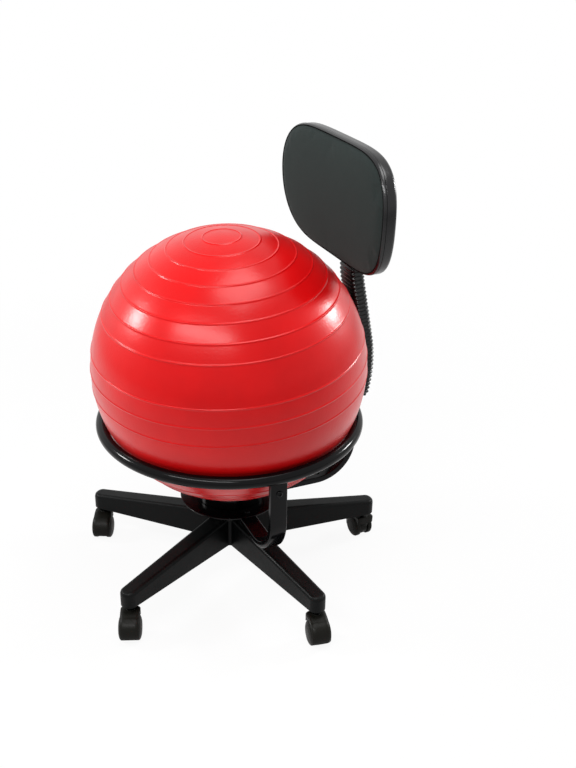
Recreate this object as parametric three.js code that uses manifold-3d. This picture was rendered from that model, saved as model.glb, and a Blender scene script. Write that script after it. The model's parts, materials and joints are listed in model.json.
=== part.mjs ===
// A balance ball chair: an inflated ball in a ring, a small backrest, and a five-star base on casters.
// Lengths are in millimetres. +Z is up, the sitter faces -Y, and the floor is at height 0.
import * as THREE from 'three';
import { mergeVertices } from 'three/addons/utils/BufferGeometryUtils.js';
import Module from 'manifold-3d';

const wasm = await Module();
wasm.setup();

// Clearances and cutting
const gap = 0.3; // between two pieces that touch
const slideGap = 0.5; // all round the back bar in its carriage
const overrun = 3; // how far a cutting tool passes the face it cuts
const weld = 1e-4; // corners closer than this are one

// Ball
const ballRadius = 275;
const ballSkin = 1.2;
const ballBands = 3; // between its top and the belt, and between its other main rings
const valveBossRadius = 8;
const valveBossDepth = 14;
const valveBoreRadius = 3.2;
const plugHeadRadius = 5.5;
const plugHeadHeight = 1.2;
const plugLength = 9;
const valveRecess = 4; // for the plug's head, below the ball's surface
const valveAzimuth = THREE.MathUtils.degToRad(40); // from the back, towards -X
const valveLatitude = THREE.MathUtils.degToRad(6);

// Ring round the ball
const ringTubeRadius = 12.2;
const ringTubeWall = 1.5;
const ringDrop = 121.5; // below the centre of the ball
const ringVentRadius = 2.5;
const tabWidth = 26;
const tabThickness = 4;
const tabEnd = 10; // below the arm screw
const tabClearance = 0.5; // to the wall of the arm

// Side arms and back bar, all bent from the same flat tube
const barWidth = 34;
const barDepth = 14;
const barWall = 2;
const barCorner = 3;
const barHeight = 158; // underside of the flat runs above the floor
const bendRadius = 83; // to the middle of the tube
const barSetback = 2; // from the spindle's flange
const armInset = 10.565; // of the middle of the upright limb, inside the middle of the ring's tube
const armScrewDrop = 38; // below the middle of the ring

// Back bar, above the bend
const barFootReach = 276.8; // where its flat run and its upright run would meet
const waistStandOff = 7.7; // of the bend beside the ring, beyond the ball
const waistDrop = 142.2; // below the centre of the ball
const waistRadius = 110;
const kneeStandOff = 33.5; // beyond the ball
const kneeDrop = 54; // below the centre of the ball
const kneeRadius = 290;
const neckRise = 157.1; // above the centre of the ball
const neckRadius = 142;
const barTopRise = 54; // above the middle of the backrest
const sightHoleRadius = 5;
const sightHoleReach = 204;

// Ribbed sleeve on the back bar
const sleeveWidth = 64;
const sleeveDepth = 31;
const sleeveCorner = 10;
const ribDepth = 3.2;
const ribPitch = 8.8;
const sleeveFootRise = 6.5; // of its lower end above the middle of the ring
const sleeveCuff = 5; // plain, at each end, close round the bar
const sleeveWall = 1.8;

// Plate and cup under the ball
const plateRadius = 107;
const plateThickness = 3;
const cupRadius = 75;
const cupWall = 5;
const cupFloor = 4;
const cupDepth = 23.4; // from its floor to the lowest point of the ball
const boltRadius = 4;
const boltHeadRadius = 6.5;
const boltHeadHeight = 5.3;
const boltInset = 15; // of the outer bolt, from the rim of the plate
const boltSpacing = 38;

// Pan-head screws of the arms and the backrest
const screwRadius = 4;
const screwHeadRadius = 7;
const screwHeadHeight = 3.5;
const screwShoulderShare = 0.9; // of the head's radius
const screwShoulderRiseShare = 0.6; // of the head's height
const screwCrownShare = 0.5; // of the head's radius, where its top is flat
const screwTail = 2; // past the tab

// Swivel
const spindleRadius = 12.5;
const spindleFlangeRadius = 36;
const spindleFlangeThickness = 6;
const spindleEndHeight = 64;
const spindleTail = 4; // below the clip
const spigotRadius = 10; // in the middle of the plate
const grooveDepth = 1.5;
const pedestalRadius = 25;
const pedestalWall = 4;
const bushFlange = 2.5;
const bushLength = 16;
const raceThickness = 3.5;
const raceRadius = 24;
const cageInset = 2;
const clipThickness = 2;
const clipRadius = 17;
const clipMouth = 9;

// Five-star base
const legs = 5;
const stemCircle = 311; // radius of the circle through the caster stems
const baseTurn = THREE.MathUtils.degToRad(-6.6); // of one leg from straight back
const hubRadius = 41;
const hubTop = 133;
const hubBottom = 62;
const legHubHalfWidth = 22;
const legEndHalfWidth = 17.5;
const legEndTop = 104.5;
const legEndBottom = 70;
const legCorner = 8;
const legCornerShares = [0, 0.5, 1]; // of a quarter turn
const legEndSteps = 3;
const legEndArc = THREE.MathUtils.degToRad(82); // of its round end, on each side of the tip
const legWall = 3.5;
const legRib = 3;
const legCells = 3;
const cellStart = 42;
const socketBossRadius = 15.5;
const socketBossFoot = 10.5;
const socketBossBottom = 61;
const socketDepth = 36;

// Casters
const stemRadius = 5.5;
const stemCollarRadius = 9;
const stemHoleDepth = 20;
const wheelRadius = 25;
const wheelInner = 9.7; // inner face of a wheel from the middle of the caster
const wheelTreadEnd = 17.6;
const wheelOuter = 23.4;
const wheelShoulderShare = 0.84; // where its outer face has bulged half way
const axleRadius = 3;
const axleHalfLength = 18.4;
const casterTrail = 18;
const hoodGap = 1.6; // between tread and hood
const hoodSkin = 2.2;
const hoodHalfWidth = 19.4;
const hoodTop = 58.4;
const hoodSkirt = THREE.MathUtils.degToRad(20); // how far the hood comes down past the axle
const hoodBrow = THREE.MathUtils.degToRad(20); // how far it goes past the top, to the stem
const stemBossWall = 3.6;
const stemBossDepth = 24;
const crownBack = 9; // of the hood's flat top, behind the stem
const crownFoot = 6; // where it slopes into the round of the hood, behind the axle
const crownDepth = 18; // of its sides, in front of the wheels
const finRadius = 22;
const finClearance = 0.9; // between a wheel and the fin
// how far each caster has turned, anticlockwise from trailing towards -Y
const casterTurns = [274.3, 219.3, 64.3, 69.3, 81.3].map(THREE.MathUtils.degToRad);
const casterNames = ['rear', 'right', 'front_right', 'front_left', 'left'];

// Backrest
const padHalfWidth = 223;
const padHalfHeight = 120.4;
const padTaperShare = 0.039; // how much wider the top is
const padSidePower = 4.8;
const padEndPower = 2.2;
const padSetIn = 58.7; // of the seam's middle from the back of the ball
const padRise = 317.9; // of its middle above the centre of the ball
const padBow = 3.5; // the sides curve forward
const padRoll = 9.9; // the top and bottom curve back
const padLeanShare = 0.019; // how far the top leans forward, for its height
const cushionCrown = 4; // of its middle, beyond the shoulder
const crownShares = [0.9, 0.7, 0.4];
const padShares = [0, 0.45, 0.8]; // of the rings over a flat face
const cushionBack = 8;
const cushionShoulder = 9;
const boardThickness = 9;
const boardInset = 11;
const padScrewDepth = 6; // in the board
const shellDepth = 22;
const shellCorner = 8;
const shellFacetShare = 1 / 3; // of the corner, where its two facets meet
const shellSkin = 3;
const shellLip = 1; // between the shell and the cushion's back
const shellSeat = 14; // flat seat for the carriage, proud of the shell
const carriageWidth = 54;
const carriageFlangeWidth = 92;
const carriageFlange = 5;
const carriageFront = 6;
const carriageBack = 9;
const carriageHeight = 84;
const carriageCorner = 6;
const padScrewReach = 36;
const knobRadius = 21;
const knobLobe = 4;
const knobLobes = 6;
const knobThickness = 15;
const knobNeckRadius = 11;
const knobNeck = 4;

// How finely curves are drawn
const ballSides = 32; // also of the ring and the cup that hold it
const ringTubeSides = 8;
const ringBoreSides = 6;
const roundSides = 16;
const wheelSides = 16;
const hoodSides = 16;
const smallSides = 8;
const padSides = 32;
const bendSteps = 6;
const backArcSteps = [bendSteps, 3, 5, 2];
const tubeCornerPoints = 2;
const carriageCornerPoints = 3;
const shoulderSteps = 3;
const fanSteps = 3;
const knobLobePoints = 4;
const boreRibs = 5; // ribs of the sleeve for each step of its bore

// Materials
function material(color, roughness, metalness = 0) {
  return new THREE.MeshStandardMaterial({ color, roughness, metalness });
}
const redVinyl = material(0xc81a26, 0.38);
const blackPaint = material(0x101010, 0.25, 0.2);
const baseNylon = material(0x1e1f21, 0.55);
const casterNylon = material(0x2e2d2b, 0.6);
const blackRubber = material(0x121212, 0.7);
const charcoalFabric = material(0x33383a, 0.95);
const shellPlastic = material(0x0c0c0d, 0.2);
const brightSteel = material(0xb8babd, 0.3, 1);
const bushPlastic = material(0xd8d5c8, 0.5);
const plywood = material(0xb08a5a, 0.8);
const plugPlastic = material(0xe8e8e4, 0.4);

const quarterTurn = Math.PI / 2;
const upward = new THREE.Vector3(0, 0, 1);
const origin2 = new THREE.Vector2();

// Solids

// The same shape with merged corners and its faces pointing out.
function facingOut(geometry) {
  const bare = geometry.clone();
  bare.deleteAttribute('normal');
  bare.deleteAttribute('uv');
  const merged = mergeVertices(bare, weld);
  const at = merged.getAttribute('position');
  const corners = merged.index.array;
  const [a, b, c] = [new THREE.Vector3(), new THREE.Vector3(), new THREE.Vector3()];
  const kept = [];
  let volume = 0;
  for (let i = 0; i < corners.length; i += 3) {
    const [p, q, r] = [corners[i], corners[i + 1], corners[i + 2]];
    if (p === q || q === r || r === p) continue;
    kept.push(p, q, r);
    a.fromBufferAttribute(at, p);
    b.fromBufferAttribute(at, q);
    c.fromBufferAttribute(at, r);
    volume += a.dot(b.cross(c));
  }
  if (volume < 0) kept.reverse();
  merged.setIndex(kept);
  return merged;
}

function toSolid(geometry) {
  const closed = facingOut(geometry);
  const vertProperties = new Float32Array(closed.getAttribute('position').array);
  const triVerts = new Uint32Array(closed.index.array);
  return new wasm.Manifold(new wasm.Mesh({ numProp: 3, vertProperties, triVerts }));
}

function toGeometry(solid) {
  const mesh = solid.getMesh();
  const geometry = new THREE.BufferGeometry();
  geometry.setAttribute('position', new THREE.BufferAttribute(mesh.vertProperties, 3));
  geometry.setIndex(new THREE.BufferAttribute(mesh.triVerts, 1));
  return geometry;
}

function join(first, ...others) {
  return toGeometry(others.reduce((whole, part) => whole.add(toSolid(part)), toSolid(first)));
}

function cut(first, ...tools) {
  return toGeometry(tools.reduce((whole, tool) => whole.subtract(toSolid(tool)), toSolid(first)));
}

// A solid turned about Z, from a profile of [radius, height] points that starts and ends on the axis
// or closes on itself.
function turned(profile, sides) {
  const points = profile.map(([radius, height]) => new THREE.Vector2(radius, height));
  return new THREE.LatheGeometry(points, sides).rotateX(quarterTurn);
}

function ringProfile(inner, outer, low, high) {
  return [[inner, low], [outer, low], [outer, high], [inner, high], [inner, low]];
}

// An upright cylinder between two heights.
function rod(radius, low, high, sides) {
  return turned([[0, low], [radius, low], [radius, high], [0, high]], sides);
}

function block(width, depth, low, high) {
  return new THREE.BoxGeometry(width, depth, high - low).translate(0, 0, (low + high) / 2);
}

// A closed skin through rings of points, with a flat end on the first and the last ring.
// With looped set, the last ring joins the first instead.
function skin(rings, looped = false) {
  const count = rings[0].length;
  const positions = rings.flat().flatMap((point) => point.toArray());
  const faces = [];
  const bands = looped ? rings.length : rings.length - 1;
  for (let row = 0; row < bands; row++) {
    const next = (row + 1) % rings.length;
    for (let i = 0; i < count; i++) {
      const j = (i + 1) % count;
      faces.push(row * count + i, row * count + j, next * count + j);
      faces.push(row * count + i, next * count + j, next * count + i);
    }
  }
  if (!looped) {
    const last = (rings.length - 1) * count;
    for (let i = 1; i < count - 1; i++) {
      faces.push(0, i + 1, i);
      faces.push(last, last + i, last + i + 1);
    }
  }
  const geometry = new THREE.BufferGeometry();
  geometry.setAttribute('position', new THREE.Float32BufferAttribute(positions, 3));
  geometry.setIndex(faces);
  return geometry;
}

// A rounded rectangle as [across, out] pairs, with the given number of points at each corner.
function roundedSection(width, depth, radius, cornerPoints) {
  const points = [];
  const corners = [[1, 1], [-1, 1], [-1, -1], [1, -1]];
  corners.forEach(([sideways, outward], quarter) => {
    for (let i = 0; i < cornerPoints; i++) {
      const share = cornerPoints > 1 ? i / (cornerPoints - 1) : 0.5;
      const angle = (quarter + share) * quarterTurn;
      points.push([
        sideways * (width / 2 - radius) + radius * Math.cos(angle),
        outward * (depth / 2 - radius) + radius * Math.sin(angle),
      ]);
    }
  });
  return points;
}

// A path in the upright plane through Y: straight runs between corners [y, z], and an arc of the
// given radius at each inner corner. Gives the points and their directions.
function bentPath(corners, radii, arcSteps) {
  const at = corners.map(([y, z]) => new THREE.Vector2(y, z));
  const stations = [];
  const add = (point, direction) => stations.push({ point, direction });
  const heading = (i) => at[i + 1].clone().sub(at[i]).normalize();
  add(at[0], heading(0));
  for (let i = 1; i < at.length - 1; i++) {
    const [before, after] = [heading(i - 1), heading(i)];
    const turn = Math.atan2(before.cross(after), before.dot(after));
    const reach = radii[i - 1] * Math.tan(Math.abs(turn) / 2);
    const start = at[i].clone().addScaledVector(before, -reach);
    const side = new THREE.Vector2(-before.y, before.x).multiplyScalar(Math.sign(turn));
    const centre = start.clone().addScaledVector(side, radii[i - 1]);
    for (let step = 0; step <= arcSteps[i - 1]; step++) {
      const angle = (turn * step) / arcSteps[i - 1];
      add(start.clone().rotateAround(centre, angle), before.clone().rotateAround(origin2, angle));
    }
  }
  add(at[at.length - 1], heading(at.length - 2));
  return stations;
}

// Rings of a section carried along stations of an upright path. The section's outward side is the
// outer side of the first bend.
function carried(section, stations) {
  return stations.map(({ point, direction }) => section.map(([across, out]) => new THREE.Vector3(
    across,
    point.x + out * direction.y,
    point.y - out * direction.x,
  )));
}

// The part of a path between two distances along it, with stations at even steps.
function resampled(stations, from, to, steps) {
  const lengths = [0];
  for (let i = 1; i < stations.length; i++) {
    lengths.push(lengths[i - 1] + stations[i].point.distanceTo(stations[i - 1].point));
  }
  return Array.from({ length: steps + 1 }, (_, step) => {
    const wanted = from + ((to - from) * step) / steps;
    const i = Math.min(Math.max(lengths.findIndex((length) => length > wanted), 1), lengths.length - 1);
    const share = (wanted - lengths[i - 1]) / (lengths[i] - lengths[i - 1]);
    return {
      point: stations[i - 1].point.clone().lerp(stations[i].point, share),
      direction: stations[i - 1].direction.clone().lerp(stations[i].direction, share).normalize(),
    };
  });
}

// The distance along a path at which it reaches a height.
function lengthAtHeight(stations, height) {
  let length = 0;
  for (let i = 1; i < stations.length; i++) {
    const [a, b] = [stations[i - 1].point, stations[i].point];
    const step = a.distanceTo(b);
    if (b.y >= height && a.y < height) return length + (step * (height - a.y)) / (b.y - a.y);
    length += step;
  }
  return length;
}

function part(name, geometry, finish, parent) {
  const mesh = new THREE.Mesh(facingOut(geometry), finish);
  mesh.name = name;
  parent.add(mesh);
  return mesh;
}

function group(parent) {
  const inner = new THREE.Group();
  parent.add(inner);
  return inner;
}

// Swivel: a pedestal tube in the hub, two bushes in the tube, and a spindle that turns in them

const plateBottom = barHeight + barDepth + gap;
const plateTop = plateBottom + plateThickness;
const cupBottom = plateTop + gap;
const ballHeight = cupBottom + cupFloor + cupDepth + ballRadius; // its centre
const flangeTop = plateBottom - gap;
const flangeBottom = flangeTop - spindleFlangeThickness;
const upperRaceBottom = flangeBottom - gap - raceThickness;
const cageBottom = upperRaceBottom - gap - raceThickness;
const lowerRaceBottom = cageBottom - gap - raceThickness;
const upperBushTop = lowerRaceBottom - gap;
const pedestalTop = upperBushTop - bushFlange - gap;
const clipBottom = spindleEndHeight + spindleTail;
const clipTop = clipBottom + clipThickness;
const lowerBushBottom = clipTop + gap;
const pedestalBottom = lowerBushBottom + bushFlange + gap;
const spindleBore = spindleRadius + gap;
const pedestalBore = pedestalRadius - pedestalWall;

function bush(flangeEnd, inward) {
  const seat = flangeEnd + inward * bushFlange;
  return turned([
    [spindleBore, flangeEnd],
    [pedestalRadius, flangeEnd],
    [pedestalRadius, seat],
    [pedestalBore - gap, seat],
    [pedestalBore - gap, seat + inward * bushLength],
    [spindleBore, seat + inward * bushLength],
    [spindleBore, flangeEnd],
  ], roundSides);
}

function buildSwivel(base, seat) {
  const race = (bottom) => turned(
    ringProfile(spindleBore, raceRadius, bottom, bottom + raceThickness),
    roundSides,
  );
  const cage = turned(ringProfile(
    spindleBore + cageInset,
    raceRadius - cageInset,
    cageBottom,
    cageBottom + raceThickness,
  ), roundSides);
  const tube = turned(
    ringProfile(pedestalBore, pedestalRadius, pedestalBottom, pedestalTop),
    roundSides,
  );
  part('pedestal_tube', tube, blackPaint, base);
  part('upper_bush', bush(upperBushTop, -1), bushPlastic, base);
  part('lower_bush', bush(lowerBushBottom, 1), bushPlastic, base);
  part('lower_race', race(lowerRaceBottom), brightSteel, base);
  part('bearing_cage', cage, bushPlastic, base);
  part('upper_race', race(upperRaceBottom), brightSteel, seat);

  const spindle = turned([
    [0, spindleEndHeight],
    [spindleRadius, spindleEndHeight],
    [spindleRadius, clipBottom - gap],
    [spindleRadius - grooveDepth, clipBottom - gap],
    [spindleRadius - grooveDepth, clipTop + gap],
    [spindleRadius, clipTop + gap],
    [spindleRadius, flangeBottom],
    [spindleFlangeRadius, flangeBottom],
    [spindleFlangeRadius, flangeTop],
    [spigotRadius, flangeTop],
    [spigotRadius, plateTop],
    [0, plateTop],
  ], roundSides);
  const clipInner = spindleRadius - grooveDepth + gap;
  const mouth = block(clipMouth, clipRadius + overrun, clipBottom - overrun, clipTop + overrun)
    .translate(0, -(clipRadius + overrun) / 2, 0);
  const clip = cut(turned(ringProfile(clipInner, clipRadius, clipBottom, clipTop), roundSides), mouth);
  part('swivel_spindle', spindle, brightSteel, seat);
  part('retaining_clip', clip, brightSteel, seat);
}

// Five-star base. A leg is drawn towards -Y.

const stemTop = socketBossBottom + socketDepth - gap;

function legHalfWidth(reach) {
  return THREE.MathUtils.mapLinear(reach, 0, stemCircle, legHubHalfWidth, legEndHalfWidth);
}

function legTop(reach) {
  return THREE.MathUtils.mapLinear(reach, 0, stemCircle, hubTop, legEndTop);
}

function legBottom(reach) {
  return THREE.MathUtils.mapLinear(reach, 0, stemCircle, hubBottom, legEndBottom);
}

// The outline of a leg across its length: flat below, with rounded upper corners.
function legSection(reach, halfWidth, bottom, top, corner) {
  const arc = legCornerShares.map((share) => share * quarterTurn);
  const right = arc.map((angle) => [
    halfWidth - corner + corner * Math.cos(angle),
    top - corner + corner * Math.sin(angle),
  ]);
  const left = right.map(([across, height]) => [-across, height]).reverse();
  return [[-halfWidth, bottom], [halfWidth, bottom], ...right, ...left]
    .map(([across, height]) => new THREE.Vector3(across, -reach, height));
}

function leg() {
  const stations = [0, stemCircle].map((reach) => legSection(
    reach,
    legHalfWidth(reach),
    legBottom(reach),
    legTop(reach),
    legCorner,
  ));
  for (let step = 1; step <= legEndSteps; step++) {
    const angle = (legEndArc * step) / legEndSteps;
    const halfWidth = legEndHalfWidth * Math.cos(angle);
    const corner = legCorner * Math.cos(angle);
    stations.push(legSection(
      stemCircle + legEndHalfWidth * Math.sin(angle),
      halfWidth,
      legEndBottom,
      legEndTop - (legCorner - corner) / 2,
      corner,
    ));
  }
  const boss = turned([
    [0, socketBossBottom],
    [socketBossFoot, socketBossBottom],
    [socketBossRadius, legEndBottom],
    [socketBossRadius, legEndTop - legWall],
    [0, legEndTop - legWall],
  ], smallSides).translate(0, -stemCircle, 0);
  return [skin(stations), boss];
}

// The hollows that open under a leg, with ribs between them.
function legHollows() {
  const cellEnd = stemCircle - socketBossRadius - legWall;
  const cellLength = (cellEnd - cellStart - (legCells - 1) * legRib) / legCells;
  return Array.from({ length: legCells }, (_, cell) => {
    const start = cellStart + cell * (cellLength + legRib);
    return skin([start, start + cellLength].map((reach) => legSection(
      reach,
      legHalfWidth(reach) - legWall,
      hubBottom - overrun,
      legTop(reach) - legWall,
      legCorner - legWall,
    )));
  });
}

function legAngle(index) {
  return Math.PI + baseTurn + (index * 2 * Math.PI) / legs;
}

function buildBase(base) {
  const solids = [rod(hubRadius, hubBottom, hubTop, roundSides)];
  const holes = [rod(pedestalRadius + gap, hubBottom - overrun, hubTop + overrun, roundSides)];
  const socket = rod(
    stemRadius + gap,
    socketBossBottom - overrun,
    socketBossBottom + socketDepth,
    roundSides,
  ).translate(0, -stemCircle, 0);
  for (let index = 0; index < legs; index++) {
    solids.push(...leg().map((solid) => solid.rotateZ(legAngle(index))));
    holes.push(...[...legHollows(), socket.clone()].map((hole) => hole.rotateZ(legAngle(index))));
  }
  part('base_star', cut(join(...solids), ...holes), baseNylon, base);
}

// Casters. Each stands on its stem's axis and trails towards -Y, with its axle along X.

const wheelCorner = wheelRadius / Math.cos(Math.PI / wheelSides);
const hoodInner = wheelRadius + hoodGap;
const hoodOuter = hoodInner + hoodSkin;
const finHalfWidth = wheelInner - finClearance;
const stemHoleBottom = hoodTop - stemHoleDepth;
const stemBossRadius = stemRadius + gap + stemBossWall;

// A solid turned about the axle, from a profile of [radius, distance along X].
function onAxle(profile, sides) {
  return turned(profile, sides)
    .rotateZ(Math.PI / sides)
    .rotateY(quarterTurn)
    .translate(0, -casterTrail, wheelRadius);
}

function disc(radius, from, to, sides) {
  return onAxle([[0, from], [radius, from], [radius, to], [0, to]], sides);
}

// The top of the hood: flat round the stem, then sloping down to the round of the hood.
function hoodCrown() {
  const outline = [
    [stemBossRadius, hoodTop - crownDepth],
    [stemBossRadius, hoodTop],
    [-crownBack, hoodTop],
    [-casterTrail - crownFoot, wheelRadius + Math.sqrt(hoodOuter ** 2 - crownFoot ** 2) - hoodSkin / 2],
    [-casterTrail - crownFoot, hoodTop - crownDepth],
  ];
  return skin([-hoodHalfWidth, hoodHalfWidth].map((across) => (
    outline.map(([out, height]) => new THREE.Vector3(across, out, height))
  )));
}

function caster() {
  const collar = [hoodTop + gap, socketBossBottom - gap];
  const stem = turned([
    [0, stemHoleBottom + gap],
    [stemRadius, stemHoleBottom + gap],
    [stemRadius, collar[0]],
    [stemCollarRadius, collar[0]],
    [stemCollarRadius, collar[1]],
    [stemRadius, collar[1]],
    [stemRadius, stemTop],
    [0, stemTop],
  ], smallSides);

  // the arc of the hood, seen along the axle, from its skirt behind the wheels over to the stem
  const reach = 2 * hoodOuter;
  const arc = [Math.PI + hoodSkirt, quarterTurn - hoodBrow];
  const fan = new THREE.Shape([
    new THREE.Vector2(),
    ...Array.from({ length: fanSteps + 1 }, (_, step) => {
      const angle = THREE.MathUtils.lerp(...arc, step / fanSteps);
      return new THREE.Vector2(reach * Math.cos(angle), reach * Math.sin(angle));
    }),
  ]);
  const sector = new THREE.ExtrudeGeometry(fan, { depth: 2 * hoodOuter, bevelEnabled: false })
    .translate(0, 0, -hoodOuter)
    .rotateX(quarterTurn)
    .rotateZ(quarterTurn)
    .translate(0, -casterTrail, wheelRadius);
  const cover = toSolid(disc(hoodOuter, -hoodHalfWidth, hoodHalfWidth, hoodSides))
    .intersect(toSolid(sector))
    .add(toSolid(hoodCrown()))
    .subtract(toSolid(disc(hoodInner, finHalfWidth, hoodHalfWidth + overrun, hoodSides)))
    .subtract(toSolid(disc(hoodInner, -hoodHalfWidth - overrun, -finHalfWidth, hoodSides)));
  const boss = rod(stemBossRadius, hoodTop - stemBossDepth, hoodTop, smallSides);
  const hood = cut(
    join(toGeometry(cover), disc(finRadius, -finHalfWidth, finHalfWidth, hoodSides), boss),
    rod(stemRadius + gap, stemHoleBottom, hoodTop + overrun, smallSides),
    disc(axleRadius + gap, -hoodHalfWidth, hoodHalfWidth, smallSides),
  );

  const wheel = onAxle([
    [0, axleHalfLength + gap],
    [axleRadius + gap, axleHalfLength + gap],
    [axleRadius + gap, wheelInner],
    [wheelCorner, wheelInner],
    [wheelCorner, wheelTreadEnd],
    [wheelCorner * wheelShoulderShare, (wheelTreadEnd + wheelOuter) / 2],
    [0, wheelOuter],
  ], wheelSides);
  const axle = disc(axleRadius, -axleHalfLength, axleHalfLength, smallSides);
  return { stem, hood, axle, wheel };
}

function buildCasters(base) {
  const { stem, hood, axle, wheel } = caster();
  const opposite = wheel.clone().translate(0, casterTrail, 0).rotateZ(Math.PI).translate(0, -casterTrail, 0);
  casterNames.forEach((name, index) => {
    const place = group(base);
    place.position.set(0, -stemCircle, 0).applyAxisAngle(upward, legAngle(index));
    place.rotation.z = casterTurns[index];
    part(`${name}_caster_stem`, stem, blackPaint, place);
    part(`${name}_caster_hood`, hood, casterNylon, place);
    part(`${name}_caster_axle`, axle, brightSteel, place);
    part(`${name}_caster_wheel_a`, wheel, casterNylon, place);
    part(`${name}_caster_wheel_b`, opposite, casterNylon, place);
  });
}

// Frame under the ball: bars, plate, cup and ring

const barMiddle = barHeight + barDepth / 2;
const barStart = spindleFlangeRadius + barSetback;
const ringHeight = ballHeight - ringDrop;
const contactAngle = Math.asin(ringDrop / (ballRadius + ringTubeRadius + gap)); // below level
const ringReach = ringDrop / Math.tan(contactAngle);
const armReach = ringReach - armInset;
const armTop = ringHeight - ringTubeRadius - gap;
const armScrewHeight = ringHeight - armScrewDrop;
const outerBolt = plateRadius - boltInset;
const innerBolt = outerBolt - boltSpacing;
const padReach = ballRadius - padSetIn;
const padHeight = ballHeight + padRise;
const seatFace = padReach + shellDepth + shellSeat;
const carriageFace = seatFace + gap;
const barTopReach = carriageFace + carriageFront + slideGap + barDepth / 2;
const waistReach = ballRadius + waistStandOff;
const kneeReach = ballRadius + kneeStandOff;

const armPath = bentPath(
  [[barStart, barMiddle], [armReach, barMiddle], [armReach, armTop]],
  [bendRadius],
  [bendSteps],
);
const backPath = bentPath(
  [
    [barStart, barMiddle],
    [barFootReach, barMiddle],
    [waistReach, ballHeight - waistDrop],
    [kneeReach, ballHeight - kneeDrop],
    [barTopReach, ballHeight + neckRise],
    [barTopReach, padHeight + barTopRise],
  ],
  [bendRadius, waistRadius, kneeRadius, neckRadius],
  backArcSteps,
);

// The underside of the ball, a gap away, at a distance from its axis.
function underBall(radius) {
  return ballHeight - Math.sqrt((ballRadius + gap) ** 2 - radius ** 2);
}

// A flat tube, open at both ends, along a path towards +Y.
function flatTube(stations) {
  const outer = carried(roundedSection(barWidth, barDepth, barCorner, tubeCornerPoints), stations);
  const inner = carried(roundedSection(
    barWidth - 2 * barWall,
    barDepth - 2 * barWall,
    barCorner - barWall,
    tubeCornerPoints,
  ), stations);
  return skin([...outer, ...inner.reverse()], true);
}

function boltHoles(low, high) {
  return [innerBolt, outerBolt].map((reach) => (
    rod(boltRadius + gap, low - overrun, high + overrun, smallSides).translate(0, reach, 0)
  ));
}

function bolt(seat) {
  const foot = barHeight - gap;
  return turned([
    [0, foot],
    [boltRadius, foot],
    [boltRadius, seat],
    [boltHeadRadius, seat],
    [boltHeadRadius, seat + boltHeadHeight],
    [0, seat + boltHeadHeight],
  ], smallSides);
}

// A pan-head screw along Z with its head's seat at height 0.
function panScrew(length) {
  return turned([
    [0, -length],
    [screwRadius, -length],
    [screwRadius, 0],
    [screwHeadRadius, 0],
    [screwHeadRadius * screwShoulderShare, screwHeadHeight * screwShoulderRiseShare],
    [screwHeadRadius * screwCrownShare, screwHeadHeight],
    [0, screwHeadHeight],
  ], smallSides);
}

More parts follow.
